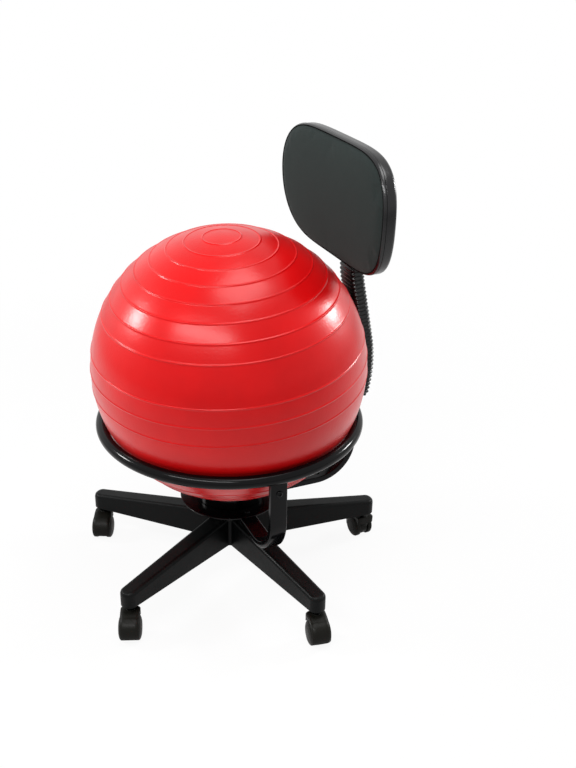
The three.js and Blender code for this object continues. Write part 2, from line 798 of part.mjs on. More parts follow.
function buildFrame(seat) {
  const turns = { left: -quarterTurn, right: quarterTurn, back: 0 };
  const plateHoles = [];
  const cupHoles = [];
  const armHole = rod(screwRadius + gap, armReach, armReach + barDepth, smallSides)
    .rotateX(-quarterTurn)
    .translate(0, 0, armScrewHeight);
  const arm = cut(flatTube(armPath), ...boltHoles(barHeight, plateBottom), armHole);
  const sightHole = rod(sightHoleRadius, barMiddle, plateBottom + overrun, smallSides)
    .translate(0, sightHoleReach, 0);
  const back = cut(flatTube(backPath), ...boltHoles(barHeight, plateBottom), sightHole);
  part('side_arm_left', arm.clone().rotateZ(turns.left), blackPaint, seat);
  part('side_arm_right', arm.clone().rotateZ(turns.right), blackPaint, seat);
  part('back_bar', back, blackPaint, seat);

  Object.entries(turns).forEach(([side, turn]) => {
    const holes = boltHoles(plateBottom, cupBottom + cupFloor).map((hole) => hole.rotateZ(turn));
    plateHoles.push(...holes);
    cupHoles.push(holes[0]);
    const place = group(seat);
    place.rotation.z = turn;
    const inner = part(`${side}_bar_inner_bolt`, bolt(cupBottom + cupFloor + gap), brightSteel, place);
    const outer = part(`${side}_bar_outer_bolt`, bolt(plateTop + gap), blackPaint, place);
    inner.position.y = innerBolt;
    outer.position.y = outerBolt;
  });
  const plate = cut(
    rod(plateRadius, plateBottom, plateTop, ballSides),
    rod(spigotRadius + gap, plateBottom - overrun, plateTop + overrun, roundSides),
    ...plateHoles,
  );
  part('mounting_plate', plate, blackPaint, seat);

  const rim = cupRadius - cupWall;
  const cup = turned([
    [0, cupBottom],
    [cupRadius, cupBottom],
    [cupRadius, underBall(cupRadius)],
    [rim, underBall(rim)],
    [rim, cupBottom + cupFloor],
    [0, cupBottom + cupFloor],
  ], ballSides);
  part('ball_cup', cut(cup, ...cupHoles), blackPaint, seat);

  const tabBack = armReach + barDepth / 2 - barWall - tabClearance;
  const tab = () => block(tabWidth, tabThickness, armScrewHeight - tabEnd, ringHeight - ringTubeRadius / 2)
    .translate(0, tabBack - tabThickness / 2, 0);
  const tabHole = armHole.clone().translate(0, -barDepth / 2, 0);
  // a tube round the ball, with a corner of its section towards the ball's centre
  const hoop = (radius, sides) => turned(Array.from({ length: sides + 1 }, (_, i) => {
    const angle = Math.PI - contactAngle + (i * 2 * Math.PI) / sides;
    return [ringReach + radius * Math.cos(angle), ringHeight + radius * Math.sin(angle)];
  }), ballSides);
  const vent = rod(ringVentRadius, ringHeight - ringTubeRadius - overrun, ringHeight, smallSides)
    .translate(0, ringReach, 0);
  const ring = cut(
    join(
      hoop(ringTubeRadius, ringTubeSides),
      ...[turns.left, turns.right].map((turn) => tab().rotateZ(turn)),
    ),
    hoop(ringTubeRadius - ringTubeWall, ringBoreSides),
    vent,
    ...[turns.left, turns.right].map((turn) => tabHole.clone().rotateZ(turn)),
  );
  part('support_ring', ring, blackPaint, seat);

  const screwLength = barWall + tabClearance + tabThickness + 2 * gap + screwTail;
  const armScrew = panScrew(screwLength)
    .rotateX(-quarterTurn)
    .translate(0, armReach + barDepth / 2 + gap, armScrewHeight);
  part('arm_screw_left', armScrew.clone().rotateZ(turns.left), blackPaint, seat);
  part('arm_screw_right', armScrew.clone().rotateZ(turns.right), blackPaint, seat);
}

// The ribbed sleeve: plain cuffs at its ends, ribs between them, and a smooth bore.
const sleeveBottom = ringHeight + sleeveFootRise;
const sleeveTop = padHeight - carriageHeight / 2 - gap;

function buildSleeve(seat) {
  const section = (inset) => roundedSection(
    sleeveWidth - 2 * inset,
    sleeveDepth - 2 * inset,
    sleeveCorner - inset,
    tubeCornerPoints,
  );
  const start = lengthAtHeight(backPath, sleeveBottom);
  const end = lengthAtHeight(backPath, sleeveTop);
  const ribs = Math.round((end - start - 2 * sleeveCuff) / ribPitch);
  const ribbed = resampled(backPath, start + sleeveCuff, end - sleeveCuff, 2 * ribs);
  const [foot, head] = resampled(backPath, start, end, 1);
  const valley = section(ribDepth);
  const crest = section(0);
  const mouth = roundedSection(barWidth + 2 * gap, barDepth + 2 * gap, barCorner, tubeCornerPoints);
  const outer = [
    ...carried(valley, [foot]),
    ...ribbed.flatMap((station, step) => carried(step % 2 ? crest : valley, [station])),
    ...carried(valley, [head]),
  ];
  const boreSteps = Math.ceil(ribs / boreRibs);
  const hollow = resampled(backPath, start + sleeveCuff, end - sleeveCuff, boreSteps).reverse();
  const bore = [
    ...carried(mouth, [head, hollow[0]]),
    ...carried(section(ribDepth + sleeveWall), hollow),
    ...carried(mouth, [hollow[hollow.length - 1], foot]),
  ];
  part('bar_sleeve', skin([...outer, ...bore], true), blackRubber, seat);
}

// Ball, with a valve and its plug on the side away from the sitter

function buildBall(ballGroup) {
  // latitudes of the rings of corners: the bottom, where it meets the cup and the ring, and the top
  const cupAngle = Math.acos((cupRadius - cupWall / 2) / ballRadius);
  const main = [-quarterTurn, -cupAngle, -contactAngle, contactAngle, quarterTurn];
  const latitudes = main.slice(1).flatMap((latitude, i) => (
    Array.from({ length: ballBands }, (_, band) => (
      main[i] + ((latitude - main[i]) * band) / ballBands
    ))
  ));
  const sphere = (radius) => turned([...latitudes.slice(1), quarterTurn].reduce(
    (profile, latitude) => [...profile, [radius * Math.cos(latitude), radius * Math.sin(latitude)]],
    [[0, -radius]],
  ), ballSides);
  // a tool along the valve's axis, drawn along Z
  const aimed = (geometry) => geometry.rotateX(-quarterTurn + valveLatitude).rotateZ(valveAzimuth);
  const boss = aimed(rod(valveBossRadius, ballRadius - valveBossDepth, ballRadius + overrun, smallSides));
  const recessFloor = ballRadius - valveRecess;
  const recess = aimed(rod(plugHeadRadius + gap, recessFloor, ballRadius + overrun, smallSides));
  const bore = aimed(rod(
    valveBoreRadius,
    ballRadius - valveBossDepth - overrun,
    ballRadius,
    smallSides,
  ));
  const hollow = toSolid(sphere(ballRadius - ballSkin)).subtract(toSolid(boss));
  const shell = toSolid(sphere(ballRadius)).subtract(hollow).subtract(toSolid(recess))
    .subtract(toSolid(bore));
  const ball = part('ball', toGeometry(shell), redVinyl, ballGroup);
  const plug = part('valve_plug', aimed(turned([
    [0, recessFloor - plugLength],
    [valveBoreRadius - gap, recessFloor - plugLength],
    [valveBoreRadius - gap, recessFloor + gap],
    [plugHeadRadius, recessFloor + gap],
    [plugHeadRadius, recessFloor + gap + plugHeadHeight],
    [0, recessFloor + gap + plugHeadHeight],
  ], smallSides)), plugPlastic, ballGroup);
  ball.position.z = ballHeight;
  plug.position.z = ballHeight;
}

// Backrest. Its pieces follow one outline, wider at the top, with the sides curved forward and the
// top and bottom curved back.

// The outline drawn in by a share of its size and then by an inset, and moved back by a depth.
function padRing(share, inset, depth) {
  return Array.from({ length: padSides }, (_, i) => {
    const angle = (i * 2 * Math.PI) / padSides;
    const across = Math.sign(Math.cos(angle)) * Math.abs(Math.cos(angle)) ** (2 / padSidePower);
    const up = Math.sign(Math.sin(angle)) * Math.abs(Math.sin(angle)) ** (2 / padEndPower);
    const u = (padHalfWidth * share - inset) * (1 + padTaperShare * up) * across;
    const v = (padHalfHeight * share - inset) * up;
    const bow = padBow * (u / padHalfWidth) ** 2;
    const roll = padRoll * (v / padHalfHeight) ** 2;
    return new THREE.Vector3(u, padReach - bow + roll - padLeanShare * v + depth, padHeight + v);
  });
}

// Rings over a face at one depth, from its middle out to an edge with an inset.
function padFace(inset, depth) {
  return [...padShares.map((share) => padRing(share, 0, depth)), padRing(1, inset, depth)];
}

function buildBackrest(backrest) {
  const front = cushionShoulder + cushionCrown;
  const shoulder = Array.from({ length: shoulderSteps }, (_, step) => (step * quarterTurn) / shoulderSteps);
  const cushion = skin([
    ...padFace(shellSkin + shellLip, cushionBack),
    padRing(1, shellSkin + shellLip, -gap),
    ...shoulder.map((angle) => padRing(
      1,
      cushionShoulder * (1 - Math.cos(angle)),
      -shellLip / 2 - cushionShoulder * Math.sin(angle),
    )),
    ...crownShares.map((share) => padRing(
      share,
      0,
      -cushionShoulder - cushionCrown * (1 - share ** 2),
    )),
    padRing(0, 0, -front),
  ]);
  part('back_cushion', cushion, charcoalFabric, backrest);

  const boardFront = cushionBack + gap;
  const boardBack = boardFront + boardThickness;
  const screwPlaces = [-1, 1].map((side) => side * padScrewReach);
  // a rod along +Y between two depths behind the seam, in line with a pad screw
  const screwTool = (radius, from, to, reach) => rod(radius, padReach + from, padReach + to, smallSides)
    .rotateX(-quarterTurn)
    .translate(reach, 0, padHeight);
  const board = cut(
    skin([...padFace(boardInset, boardFront), ...padFace(boardInset, boardBack).reverse()]),
    ...screwPlaces.map((reach) => screwTool(
      screwRadius + gap,
      boardBack - padScrewDepth,
      boardBack + overrun,
      reach,
    )),
  );
  part('back_board', board, plywood, backrest);

  const side = shellDepth - shellCorner;
  const facet = shellCorner * shellFacetShare;
  const shell = skin([
    ...padFace(shellCorner, shellDepth),
    padRing(1, facet, shellDepth - facet),
    padRing(1, 0, side),
    padRing(1, 0, 0),
    padRing(1, shellSkin, 0),
    padRing(1, shellSkin, side),
    padRing(1, shellSkin + facet, shellDepth - shellSkin - facet),
    ...padFace(shellCorner + shellSkin, shellDepth - shellSkin).reverse(),
  ]);
  const seatBlock = block(
    carriageFlangeWidth,
    shellSeat + shellSkin / 2,
    padHeight - carriageHeight / 2,
    padHeight + carriageHeight / 2,
  ).translate(0, seatFace - (shellSeat + shellSkin / 2) / 2, 0);
  const posts = screwPlaces.map((reach) => screwTool(
    screwHeadRadius,
    boardBack + gap,
    shellDepth - shellSkin / 2,
    reach,
  ));
  const shellHoles = screwPlaces.map((reach) => screwTool(
    screwRadius + gap,
    boardFront,
    shellDepth + shellSeat + overrun,
    reach,
  ));
  part('back_shell', cut(join(shell, seatBlock, ...posts), ...shellHoles), shellPlastic, backrest);

  const carriageDepth = carriageFront + barDepth + 2 * slideGap + carriageBack;
  const low = padHeight - carriageHeight / 2;
  const high = padHeight + carriageHeight / 2;
  const outside = roundedSection(carriageWidth, carriageDepth, carriageCorner, carriageCornerPoints);
  const upright = [low, high].map((height) => outside.map(([across, out]) => (
    new THREE.Vector3(across, carriageFace + carriageDepth / 2 + out, height)
  )));
  const flange = block(carriageFlangeWidth, carriageFlange, low, high)
    .translate(0, carriageFace + carriageFlange / 2, 0);
  const channel = block(
    barWidth + 2 * slideGap,
    barDepth + 2 * slideGap,
    low - overrun,
    high + overrun,
  ).translate(0, barTopReach, 0);
  const studFrom = barTopReach + barDepth / 2 + slideGap;
  const knobFace = carriageFace + carriageDepth + gap;
  const studHole = rod(screwRadius + gap, barTopReach, knobFace + overrun, roundSides)
    .rotateX(-quarterTurn)
    .translate(0, 0, padHeight);
  const carriage = cut(
    join(skin(upright), flange),
    channel,
    studHole,
    ...screwPlaces.map((reach) => screwTool(
      screwRadius + gap,
      carriageFace - padReach - overrun,
      carriageFace - padReach + carriageFlange + overrun,
      reach,
    )),
  );
  part('bar_carriage', carriage, shellPlastic, backrest);
  const screwSeat = carriageFace + carriageFlange + gap;
  const screwEnd = padReach + boardBack - padScrewDepth + gap;
  screwPlaces.forEach((reach, index) => {
    const screw = panScrew(screwSeat - screwEnd)
      .rotateX(-quarterTurn)
      .translate(reach, screwSeat, padHeight);
    part(`pad_screw_${['right', 'left'][index]}`, screw, brightSteel, backrest);
  });

  const knobPoints = knobLobePoints * knobLobes;
  const outline = (distance) => Array.from({ length: knobPoints }, (_, i) => {
    const angle = (i * 2 * Math.PI) / knobPoints;
    const radius = knobRadius + (knobLobe / 2) * Math.cos(knobLobes * angle);
    return new THREE.Vector3(
      radius * Math.cos(angle),
      knobFace + distance,
      padHeight + radius * Math.sin(angle),
    );
  });
  const neck = rod(knobNeckRadius, knobFace, knobFace + knobNeck + knobThickness / 2, roundSides)
    .rotateX(-quarterTurn)
    .translate(0, 0, padHeight);
  const studEnd = knobFace + knobNeck + knobThickness / 2;
  const studBore = rod(screwRadius + gap, knobFace - overrun, studEnd + gap, smallSides)
    .rotateX(-quarterTurn)
    .translate(0, 0, padHeight);
  const grip = skin([outline(knobNeck), outline(knobNeck + knobThickness)]);
  part('height_knob', cut(join(grip, neck), studBore), shellPlastic, backrest);
  const stud = rod(screwRadius, studFrom, studEnd, smallSides)
    .rotateX(-quarterTurn)
    .translate(0, 0, padHeight);
  part('knob_stud', stud, brightSteel, backrest);
}

// The chair

const chair = new THREE.Group();
const base = group(chair);
const seat = group(chair);
buildBase(base);
buildCasters(base);
buildSwivel(base, seat);
buildFrame(seat);
buildSleeve(seat);
buildBall(group(seat));
buildBackrest(group(seat));

// The origin is on the floor, under the middle of the chair.
const extent = new THREE.Box3().setFromObject(chair);
const middle = extent.getCenter(new THREE.Vector3());
chair.position.set(-middle.x, -middle.y, -extent.min.z);

export default chair;
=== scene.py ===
# The finish of a balance ball chair, built round its frame. Lengths are in metres and +Z is up.
import json
import math

import bpy
import numpy as np
from bpy.props import FloatProperty, FloatVectorProperty, PointerProperty
from bpy.types import Operator, Panel, PropertyGroup
from mathutils import Matrix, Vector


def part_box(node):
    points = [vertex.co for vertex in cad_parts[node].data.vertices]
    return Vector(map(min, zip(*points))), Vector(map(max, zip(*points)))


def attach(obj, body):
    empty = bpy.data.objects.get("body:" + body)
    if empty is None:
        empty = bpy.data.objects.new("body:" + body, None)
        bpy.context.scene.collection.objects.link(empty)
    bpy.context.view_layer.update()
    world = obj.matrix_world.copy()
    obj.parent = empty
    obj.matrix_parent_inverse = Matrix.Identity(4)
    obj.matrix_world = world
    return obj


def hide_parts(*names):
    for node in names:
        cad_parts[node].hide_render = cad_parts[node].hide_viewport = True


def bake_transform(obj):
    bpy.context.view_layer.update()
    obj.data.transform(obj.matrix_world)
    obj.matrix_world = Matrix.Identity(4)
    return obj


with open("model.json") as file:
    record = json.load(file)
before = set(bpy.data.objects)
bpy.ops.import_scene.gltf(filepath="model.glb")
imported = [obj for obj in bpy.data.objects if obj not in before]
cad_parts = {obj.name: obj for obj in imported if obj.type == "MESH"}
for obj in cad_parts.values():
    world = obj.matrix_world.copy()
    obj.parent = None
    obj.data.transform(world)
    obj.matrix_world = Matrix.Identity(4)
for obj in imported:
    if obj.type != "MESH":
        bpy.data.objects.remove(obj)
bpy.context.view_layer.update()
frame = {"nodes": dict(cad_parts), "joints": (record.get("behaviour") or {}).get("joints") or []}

bl_info = {
    "name": "Balance Ball Chair",
    "version": (1, 0, 0),
    "blender": (4, 5, 0),
    "location": "3D View > Sidebar > Chair",
    "description": "Builds the pieces and finishes of a balance ball chair",
    "category": "Add Mesh",
}

GAP = 0.0003  # between two pieces that touch
POLE = 0.0001  # a turned profile starts and ends a few of these from its axis
SHARP_ANGLE = math.radians(38)  # edges that turn further are drawn sharp
ROUND_END_SHARE = 0.45  # of the shorter side at a corner: the most that its curve takes up

# Places that the frame's joints give
JOINTS = {joint["name"]: joint for joint in frame["joints"]}
AXIS = np.array(JOINTS["seat_swivel"]["pos_m"][:2])  # upright axis of the ball and the seat
RING_FRONT = np.array(JOINTS["ball_roll_out"]["pos_m"])
RING_HEIGHT = RING_FRONT[2]
RING_REACH = AXIS[1] - RING_FRONT[1]
VALVE_DIRECTION = np.array(JOINTS["valve_plug_pull"]["axis"])
KNOB_PLACE = np.array(JOINTS["height_knob_turn"]["pos_m"])

# Ball
BALL_RADIUS = 0.275
BALL_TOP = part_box("ball")[1][2]
BALL_CENTRE = np.array([*AXIS, BALL_TOP - BALL_RADIUS])
BALL_LEAN = math.radians(5.9)  # of its raised rings, from upright
BALL_LEAN_TOWARDS = math.radians(-49)  # anticlockwise from +X
RING_STEP = math.radians(7.6)  # between its raised rings, counted from each end
TOP_RINGS = 8
BOTTOM_RINGS = 7
BELT_RINGS = [math.radians(angle) for angle in (77.4, 85.0, 93.0)]
RIDGE_FADE = math.radians(4.5)  # raised rings rise again over this angle, beside where the frame presses
RIDGE_FLAT_SHARE = 0.5  # of that angle, on each side, in which they are pressed flat
RIDGE_SPAN = 2.4  # how far its rows of points go on each side of a raised ring's middle, in half widths
RIDGE_ROWS = 13
BALL_ROWS = 90
BALL_COLUMNS = 288
BALL_POLE = math.radians(1.2)  # from its end to the first row of points
VALVE_BORE_RADIUS = 0.0032
VALVE_BORE_DEPTH = 0.014
PLUG_HEAD_RADIUS = 0.0055
PLUG_HEAD_HEIGHT = 0.0012
PLUG_STEM_RADIUS = VALVE_BORE_RADIUS - GAP
PLUG_LENGTH = 0.009
VALVE_RECESS_RADIUS = PLUG_HEAD_RADIUS + GAP
VALVE_RECESS_DEPTH = 0.004
PLUG_EDGE = 0.0005

# Frame of bent flat tube
TUBE_RADIUS = 0.0122
TAB_WIDTH = 0.026
TAB_THICKNESS = 0.004
TAB_EDGE = 0.0008
TAB_END = 0.010  # below the arm screw
BAR_WIDTH = 0.034
BAR_DEPTH = 0.014
BAR_WALL = 0.002
BAR_CORNER = 0.003
BAR_MIDDLE = 0.165  # height of the flat runs
BAR_START = 0.038  # from the axis
BEND_RADIUS = 0.083
ARM_REACH = 0.25
ARM_TOP = RING_HEIGHT - TUBE_RADIUS - GAP
ARM_SCREW_DROP = 0.038
ARM_SCREW_HEIGHT = RING_HEIGHT - ARM_SCREW_DROP
BACK_FOOT = 0.2768  # reach at which the back bar's flat run and the run above it would meet
WAIST_STAND_OFF = 0.0077  # beyond the ball
WAIST_DROP = 0.1422  # below the centre of the ball
WAIST = (BALL_RADIUS + WAIST_STAND_OFF, BALL_CENTRE[2] - WAIST_DROP)
WAIST_RADIUS = 0.110
KNEE_STAND_OFF = 0.0335
KNEE_DROP = 0.054
KNEE = (BALL_RADIUS + KNEE_STAND_OFF, BALL_CENTRE[2] - KNEE_DROP)
KNEE_RADIUS = 0.290
NECK_RISE = 0.1571
NECK_HEIGHT = BALL_CENTRE[2] + NECK_RISE
NECK_RADIUS = 0.142
SIGHT_HOLE_RADIUS = 0.005
SIGHT_HOLE_REACH = 0.204

# Plate, cup and fasteners under the ball
PLATE_RADIUS = 0.107
PLATE_THICKNESS = 0.003
PLATE_BOTTOM = BAR_MIDDLE + BAR_DEPTH / 2 + GAP
PLATE_TOP = PLATE_BOTTOM + PLATE_THICKNESS
PLATE_EDGE = 0.0012
PLATE_HOLE_RADIUS = 0.0101
CUP_RADIUS = 0.075
CUP_WALL = 0.005
CUP_BOTTOM = PLATE_TOP + GAP
CUP_FLOOR = 0.004
CUP_EDGE = 0.0015
BOLT_REACHES = {"inner": 0.054, "outer": 0.092}
BOLT_RADIUS = 0.004
BOLT_HEAD_RADIUS = 0.0065
BOLT_HEAD_HEIGHT = 0.0053
BOLT_CHAMFER = 0.0009
BOLT_TOP_SHARE = 0.87  # of the head's radius
SCREW_RADIUS = 0.004
SCREW_HEAD_RADIUS = 0.007
SCREW_HEAD_HEIGHT = 0.0035
SCREW_TIP = 0.001
ARM_SCREW_LENGTH = 0.0094
SCREW_RIM_POWER = 3
SCREW_DOME_POWER = 0.6
SCREW_DOME_SHARES = (*np.linspace(0.02, 0.94, 22), 0.975, 1.0)  # of its radius, from its middle
CROSS_HALF_WIDTH = 0.0008
CROSS_REACH = 0.0032
CROSS_SOFTNESS = 0.0004
CROSS_DEPTH = 0.0017

# Ribbed sleeve
SLEEVE_WIDTH = 0.064
SLEEVE_DEPTH = 0.031
SLEEVE_CORNER = 0.010
SLEEVE_CUFF = 0.005
SLEEVE_FOOT_RISE = 0.0065
SLEEVE_FOOT = RING_HEIGHT + SLEEVE_FOOT_RISE
SLEEVE_WALL = 0.005
RIB_STEPS = 10
RIB_POWER = 1.6
FRONT_START_SHARES = (-0.5, 1.6)  # how the shallow front of the ribs fades, out and across
FRONT_SLOPE_SHARES = (1.6, -1.7)

# Backrest
PAD_HALF_WIDTH = 0.223
PAD_HALF_HEIGHT = 0.1204
PAD_TAPER_SHARE = 0.039
PAD_SIDE_POWER = 4.8
PAD_END_POWER = 2.2
PAD_SET_IN = 0.0587  # from the back of the ball
PAD_REACH = BALL_RADIUS - PAD_SET_IN
PAD_HEIGHT = KNOB_PLACE[2]
PAD_BOW = 0.0035
PAD_ROLL = 0.0099
PAD_LEAN_SHARE = 0.019
CUSHION_SHOULDER = 0.009
CUSHION_CROWN = 0.009
CUSHION_BACK = 0.008
CUSHION_BACK_CORNER = 0.003
CUSHION_BACK_SHARES = (0.02, 0.2, 0.4, 0.6, 0.8)
CUSHION_FRONT_SHARES = (0.9, 0.8, 0.7, 0.6, 0.5, 0.4, 0.3, 0.2, 0.1, 0.02)
SWELL_ROOM_SHARE = 0.7  # of the swell, left free for the padding
SHOULDER_ROOM_SHARE = 0.25  # of that room, beside the shoulder
SEAM_HOLD_SHARE = 0.35  # of the shoulder, beside the seam, that the padding doesn't move
WEAVE_SHARE = 0.3  # of the threads' relief beside the yarn's own
PADDING_VOXEL = 0.005
PADDING_PRESSURE = 4
PADDING_FRAMES = 20
SEAM_ANGLE = math.radians(50)  # from the side of the cushion, round its shoulder
SEAM_RADIUS = 0.0012
EDGING_RISE = 0.0006
EDGING_START = math.radians(3)
EDGING_CLEARANCE = math.radians(5)  # to the seam
SHELL_DEPTH = 0.022
SHELL_CORNER = 0.008
SHELL_SKIN = 0.003
SHELL_LIP = 0.001
SHELL_SHARES = (0.02, 0.25, 0.5, 0.75, 0.9)
SHELL_SEAT = 0.014
SHELL_SEAT_CORNER = 0.006
SHELL_SEAT_EDGE = 0.0015
CARRIAGE_WIDTH = 0.054
CARRIAGE_FLANGE_WIDTH = 0.092
CARRIAGE_FLANGE = 0.005
CARRIAGE_FRONT = 0.006
CARRIAGE_BACK = 0.009
CARRIAGE_HALF_HEIGHT = 0.042
CARRIAGE_CORNER = 0.006
CARRIAGE_EDGE = 0.0015
CARRIAGE_FLANGE_CORNER = 0.008
CARRIAGE_FLANGE_EDGE = 0.0012
SLIDE_GAP = 0.0005
CARRIAGE_FACE = PAD_REACH + SHELL_DEPTH + SHELL_SEAT + GAP
BAR_TOP_REACH = CARRIAGE_FACE + CARRIAGE_FRONT + SLIDE_GAP + BAR_DEPTH / 2
BAR_TOP_RISE = 0.054  # above the middle of the backrest
BAR_TOP = PAD_HEIGHT + BAR_TOP_RISE
KNOB_RADIUS = 0.021
KNOB_LOBE = 0.002
KNOB_LOBES = 6
KNOB_NECK = 0.004
KNOB_NECK_RADIUS = 0.011
KNOB_EDGE = 0.0022
KNOB_CAP = 0.002
KNOB_CAP_SHARES = (0.8, 0.45, 0.4)  # of its radius: the cap's edge, and the rim and foot of its dish
KNOB_DISH = 0.0015
KNOB_DISH_MIDDLE = 0.0012

# Five-star base
LEG_COUNT = 5
STEM_CIRCLE = 0.311
BASE_TURN = math.radians(-6.6)
HUB_RADIUS = 0.041
HUB_TOP = 0.133
HUB_BOTTOM = 0.062
HUB_EDGE = 0.003
CUT_OVERRUN = 0.005
LEG_HUB_HALF_WIDTH = 0.022
LEG_END_HALF_WIDTH = 0.0175
LEG_END_TOP = 0.1045
LEG_END_BOTTOM = 0.070
LEG_CORNER = 0.008
LEG_START = 0.004
LEG_ROWS = 12
LEG_TIP_ROWS = 14
LEG_TIP_ANGLE = math.radians(86)
LEG_TIP_WIDTH_POWER = 0.9
LEG_TIP_DROP_POWER = 1.4
LEG_TIP_CORNER_SHARE = 0.98
LEG_WALL = 0.0035
LEG_RIB = 0.003
LEG_CELLS = 3
LEG_CELL_START = 0.042
SOCKET_RADIUS = 0.0155
SOCKET_FOOT = 0.0105
SOCKET_BOTTOM = 0.061
SOCKET_SINK = 0.005
PEDESTAL_RADIUS = 0.025

# Casters
CASTERS = ("rear", "right", "front_right", "front_left", "left")
CASTER_TURNS = [math.radians(angle) for angle in (274.3, 219.3, 64.3, 69.3, 81.3)]
WHEEL_RADIUS = 0.025
WHEEL_INNER = 0.0097
WHEEL_TREAD_END = 0.0176
WHEEL_OUTER = 0.0234
WHEEL_BORE = 0.0033
WHEEL_EDGE = 0.0012
WHEEL_SHOULDER_SHARES = (0.93, 0.78)  # of the radius, and how far each point stands past the tread
WHEEL_SHOULDER_RISES = (0.0019, 0.0037)
WHEEL_GROOVE_SHARES = (0.58, 0.55, 0.5)  # of the radius, and how far each point lies below the cap
WHEEL_GROOVE_DROPS = (0.0009, 0.0015, 0.0007)
AXLE_HALF_LENGTH = 0.0184
CASTER_TRAIL = 0.018
HOOD_GAP = 0.0016  # between the tread and the hood
HOOD_SKIN = 0.0022
HOOD_INNER = WHEEL_RADIUS + HOOD_GAP
HOOD_OUTER = HOOD_INNER + HOOD_SKIN
HOOD_HALF_WIDTH = 0.0194
HOOD_TOP = 0.0584
HOOD_LIP = 0.0005
HOOD_SIDE_DROP = 0.0042
HOOD_SIDE_POWER = 6
HOOD_INNER_DROP_SHARE = 0.2
HOOD_END = math.radians(200)  # from level towards the stem, over the top
HOOD_ROWS = 97
HOOD_COLUMNS = 29
CROWN_BACK = 0.009
CROWN_FOOT = 0.006
CROWN_DEPTH = 0.018
CROWN_END = math.radians(108)
CROWN_POWER = 24
STEM_RADIUS = 0.0055
STEM_COLLAR_RADIUS = 0.009
SOCKET_DEPTH = 0.036
STEM_TOP = SOCKET_BOTTOM + SOCKET_DEPTH - GAP
STEM_SINK = 0.018  # into the boss
STEM_EDGE = 0.0006
BOSS_WALL = 0.0036
BOSS_RADIUS = STEM_RADIUS + GAP + BOSS_WALL
BOSS_DEPTH = 0.024
BOSS_EDGE = 0.001
FIN_RADIUS = 0.022
FIN_CLEARANCE = 0.0009  # to a wheel
FIN_HALF_WIDTH = WHEEL_INNER - FIN_CLEARANCE
FIN_EDGE = 0.0015
WEB_OVERLAP = 0.002
WEB_SINK = 0.0008
WEB_ROWS = 33

# Camera: its place south of the ball's axis and how it looks north, before both are turned about the axis
CAMERA_TURN = math.radians(69.3)
CAMERA_DISTANCE = 1.85263
CAMERA_HEIGHT = 1.34494
CAMERA_YAW = math.radians(3.6376)
CAMERA_PITCH = math.radians(26.26)
CAMERA_ROLL = math.radians(1.146)
FOCAL_PIXELS = 1017.5
IMAGE_LONG_SIDE = 768
SENSOR = 36

# Floor: near the chair it takes a soft shadow, which fades into plain white between two reaches
FLOOR_HALF_SIZE = 12.0
FLOOR_PALE = 0.8
SHADOW_REACHES = (0.7, 1.9)
FLOOR_WHITE_SHARE = 0.93  # plain white in what the camera sees near the chair
FLOOR_MIRROR_SHARE = 0.4  # of that white, in what glossy pieces mirror

# Lamps: direction from the middle of the ball, distance, and size across and up
LAMPS = {
    "front": ((0.48, -0.53, 0.70), 2.7, (2.2, 0.3)),
    "right": ((-0.431, -0.797, 0.423), 2.6, (0.5, 0.35)),
    "left": ((0.013, 0.948, 0.318), 2.6, (0.5, 0.35)),
    "top": ((0.15, 0.1, 1.0), 2.4, (1.4, 1.1)),
}


# Shapes: each is its points, its four-sided faces and its three-sided faces

def grid_faces(rows, columns, looped_rows):
    """Corner numbers of the faces of a grid of points whose rows are closed rings."""
    row = np.arange(rows if looped_rows else rows - 1)
    row, column = np.meshgrid(row, np.arange(columns), indexing="ij")
    below, after = (row + 1) % rows, (column + 1) % columns
    corners = [
        row * columns + column,
        row * columns + after,
        below * columns + after,
        below * columns + column,
    ]
    return np.stack(corners, -1).reshape(-1, 4)


def outward(points, fours, threes):
    """The same shape with its faces pointing out. Each face and the origin span a signed volume, and where
    the sum is negative every face is turned round."""
    volume = 0
    for faces in (fours, threes):
        first = points[faces[:, 0]]
        for corner in range(1, faces.shape[1] - 1):
            second, third = points[faces[:, corner]], points[faces[:, corner + 1]]
            volume += np.einsum("ij,ij->", first, np.cross(second, third))
    if volume < 0:
        fours, threes = fours[:, ::-1], threes[:, ::-1]
    return points, fours, threes


def skin(rings, looped=False):
    """A closed surface through rings of points, an array of rows by columns by 3. The end rings are closed
    by fans about their middles, or joined to each other where looped is set."""
    rows, columns = rings.shape[:2]
    points = rings.reshape(-1, 3)
    threes = np.zeros((0, 3), int)
    if not looped:
        points = np.vstack([points, rings[[0, -1]].mean(axis=1)])
        here = np.arange(columns)
        after = (here + 1) % columns
        start = np.full(columns, rows * columns)
        end = start + 1
        last = (rows - 1) * columns
        threes = np.vstack([
            np.stack([start, after, here], -1),
            np.stack([end, last + here, last + after], -1),
        ])
    return outward(points, grid_faces(rows, columns, looped), threes)


def merged(*shapes):
    """Several shapes as one, the corner numbers of each moved past the points before it."""
    starts = np.cumsum([0] + [len(shape[0]) for shape in shapes])
    points = np.vstack([shape[0] for shape in shapes])
    fours = np.vstack([shape[1] + start for shape, start in zip(shapes, starts)])
    threes = np.vstack([shape[2] + start for shape, start in zip(shapes, starts)])
    return points, fours, threes


def moved(shape, turn=None, shift=(0, 0, 0)):
    """A shape turned by a 3 by 3 matrix and then shifted."""
    points = shape[0] if turn is None else shape[0] @ np.array(turn).T
    return points + np.array(shift), shape[1], shape[2]


def about_z(angle):
    """The matrix of a turn about +Z."""
    c, s = math.cos(angle), math.sin(angle)
    return np.array([[c, -s, 0], [s, c, 0], [0, 0, 1]])


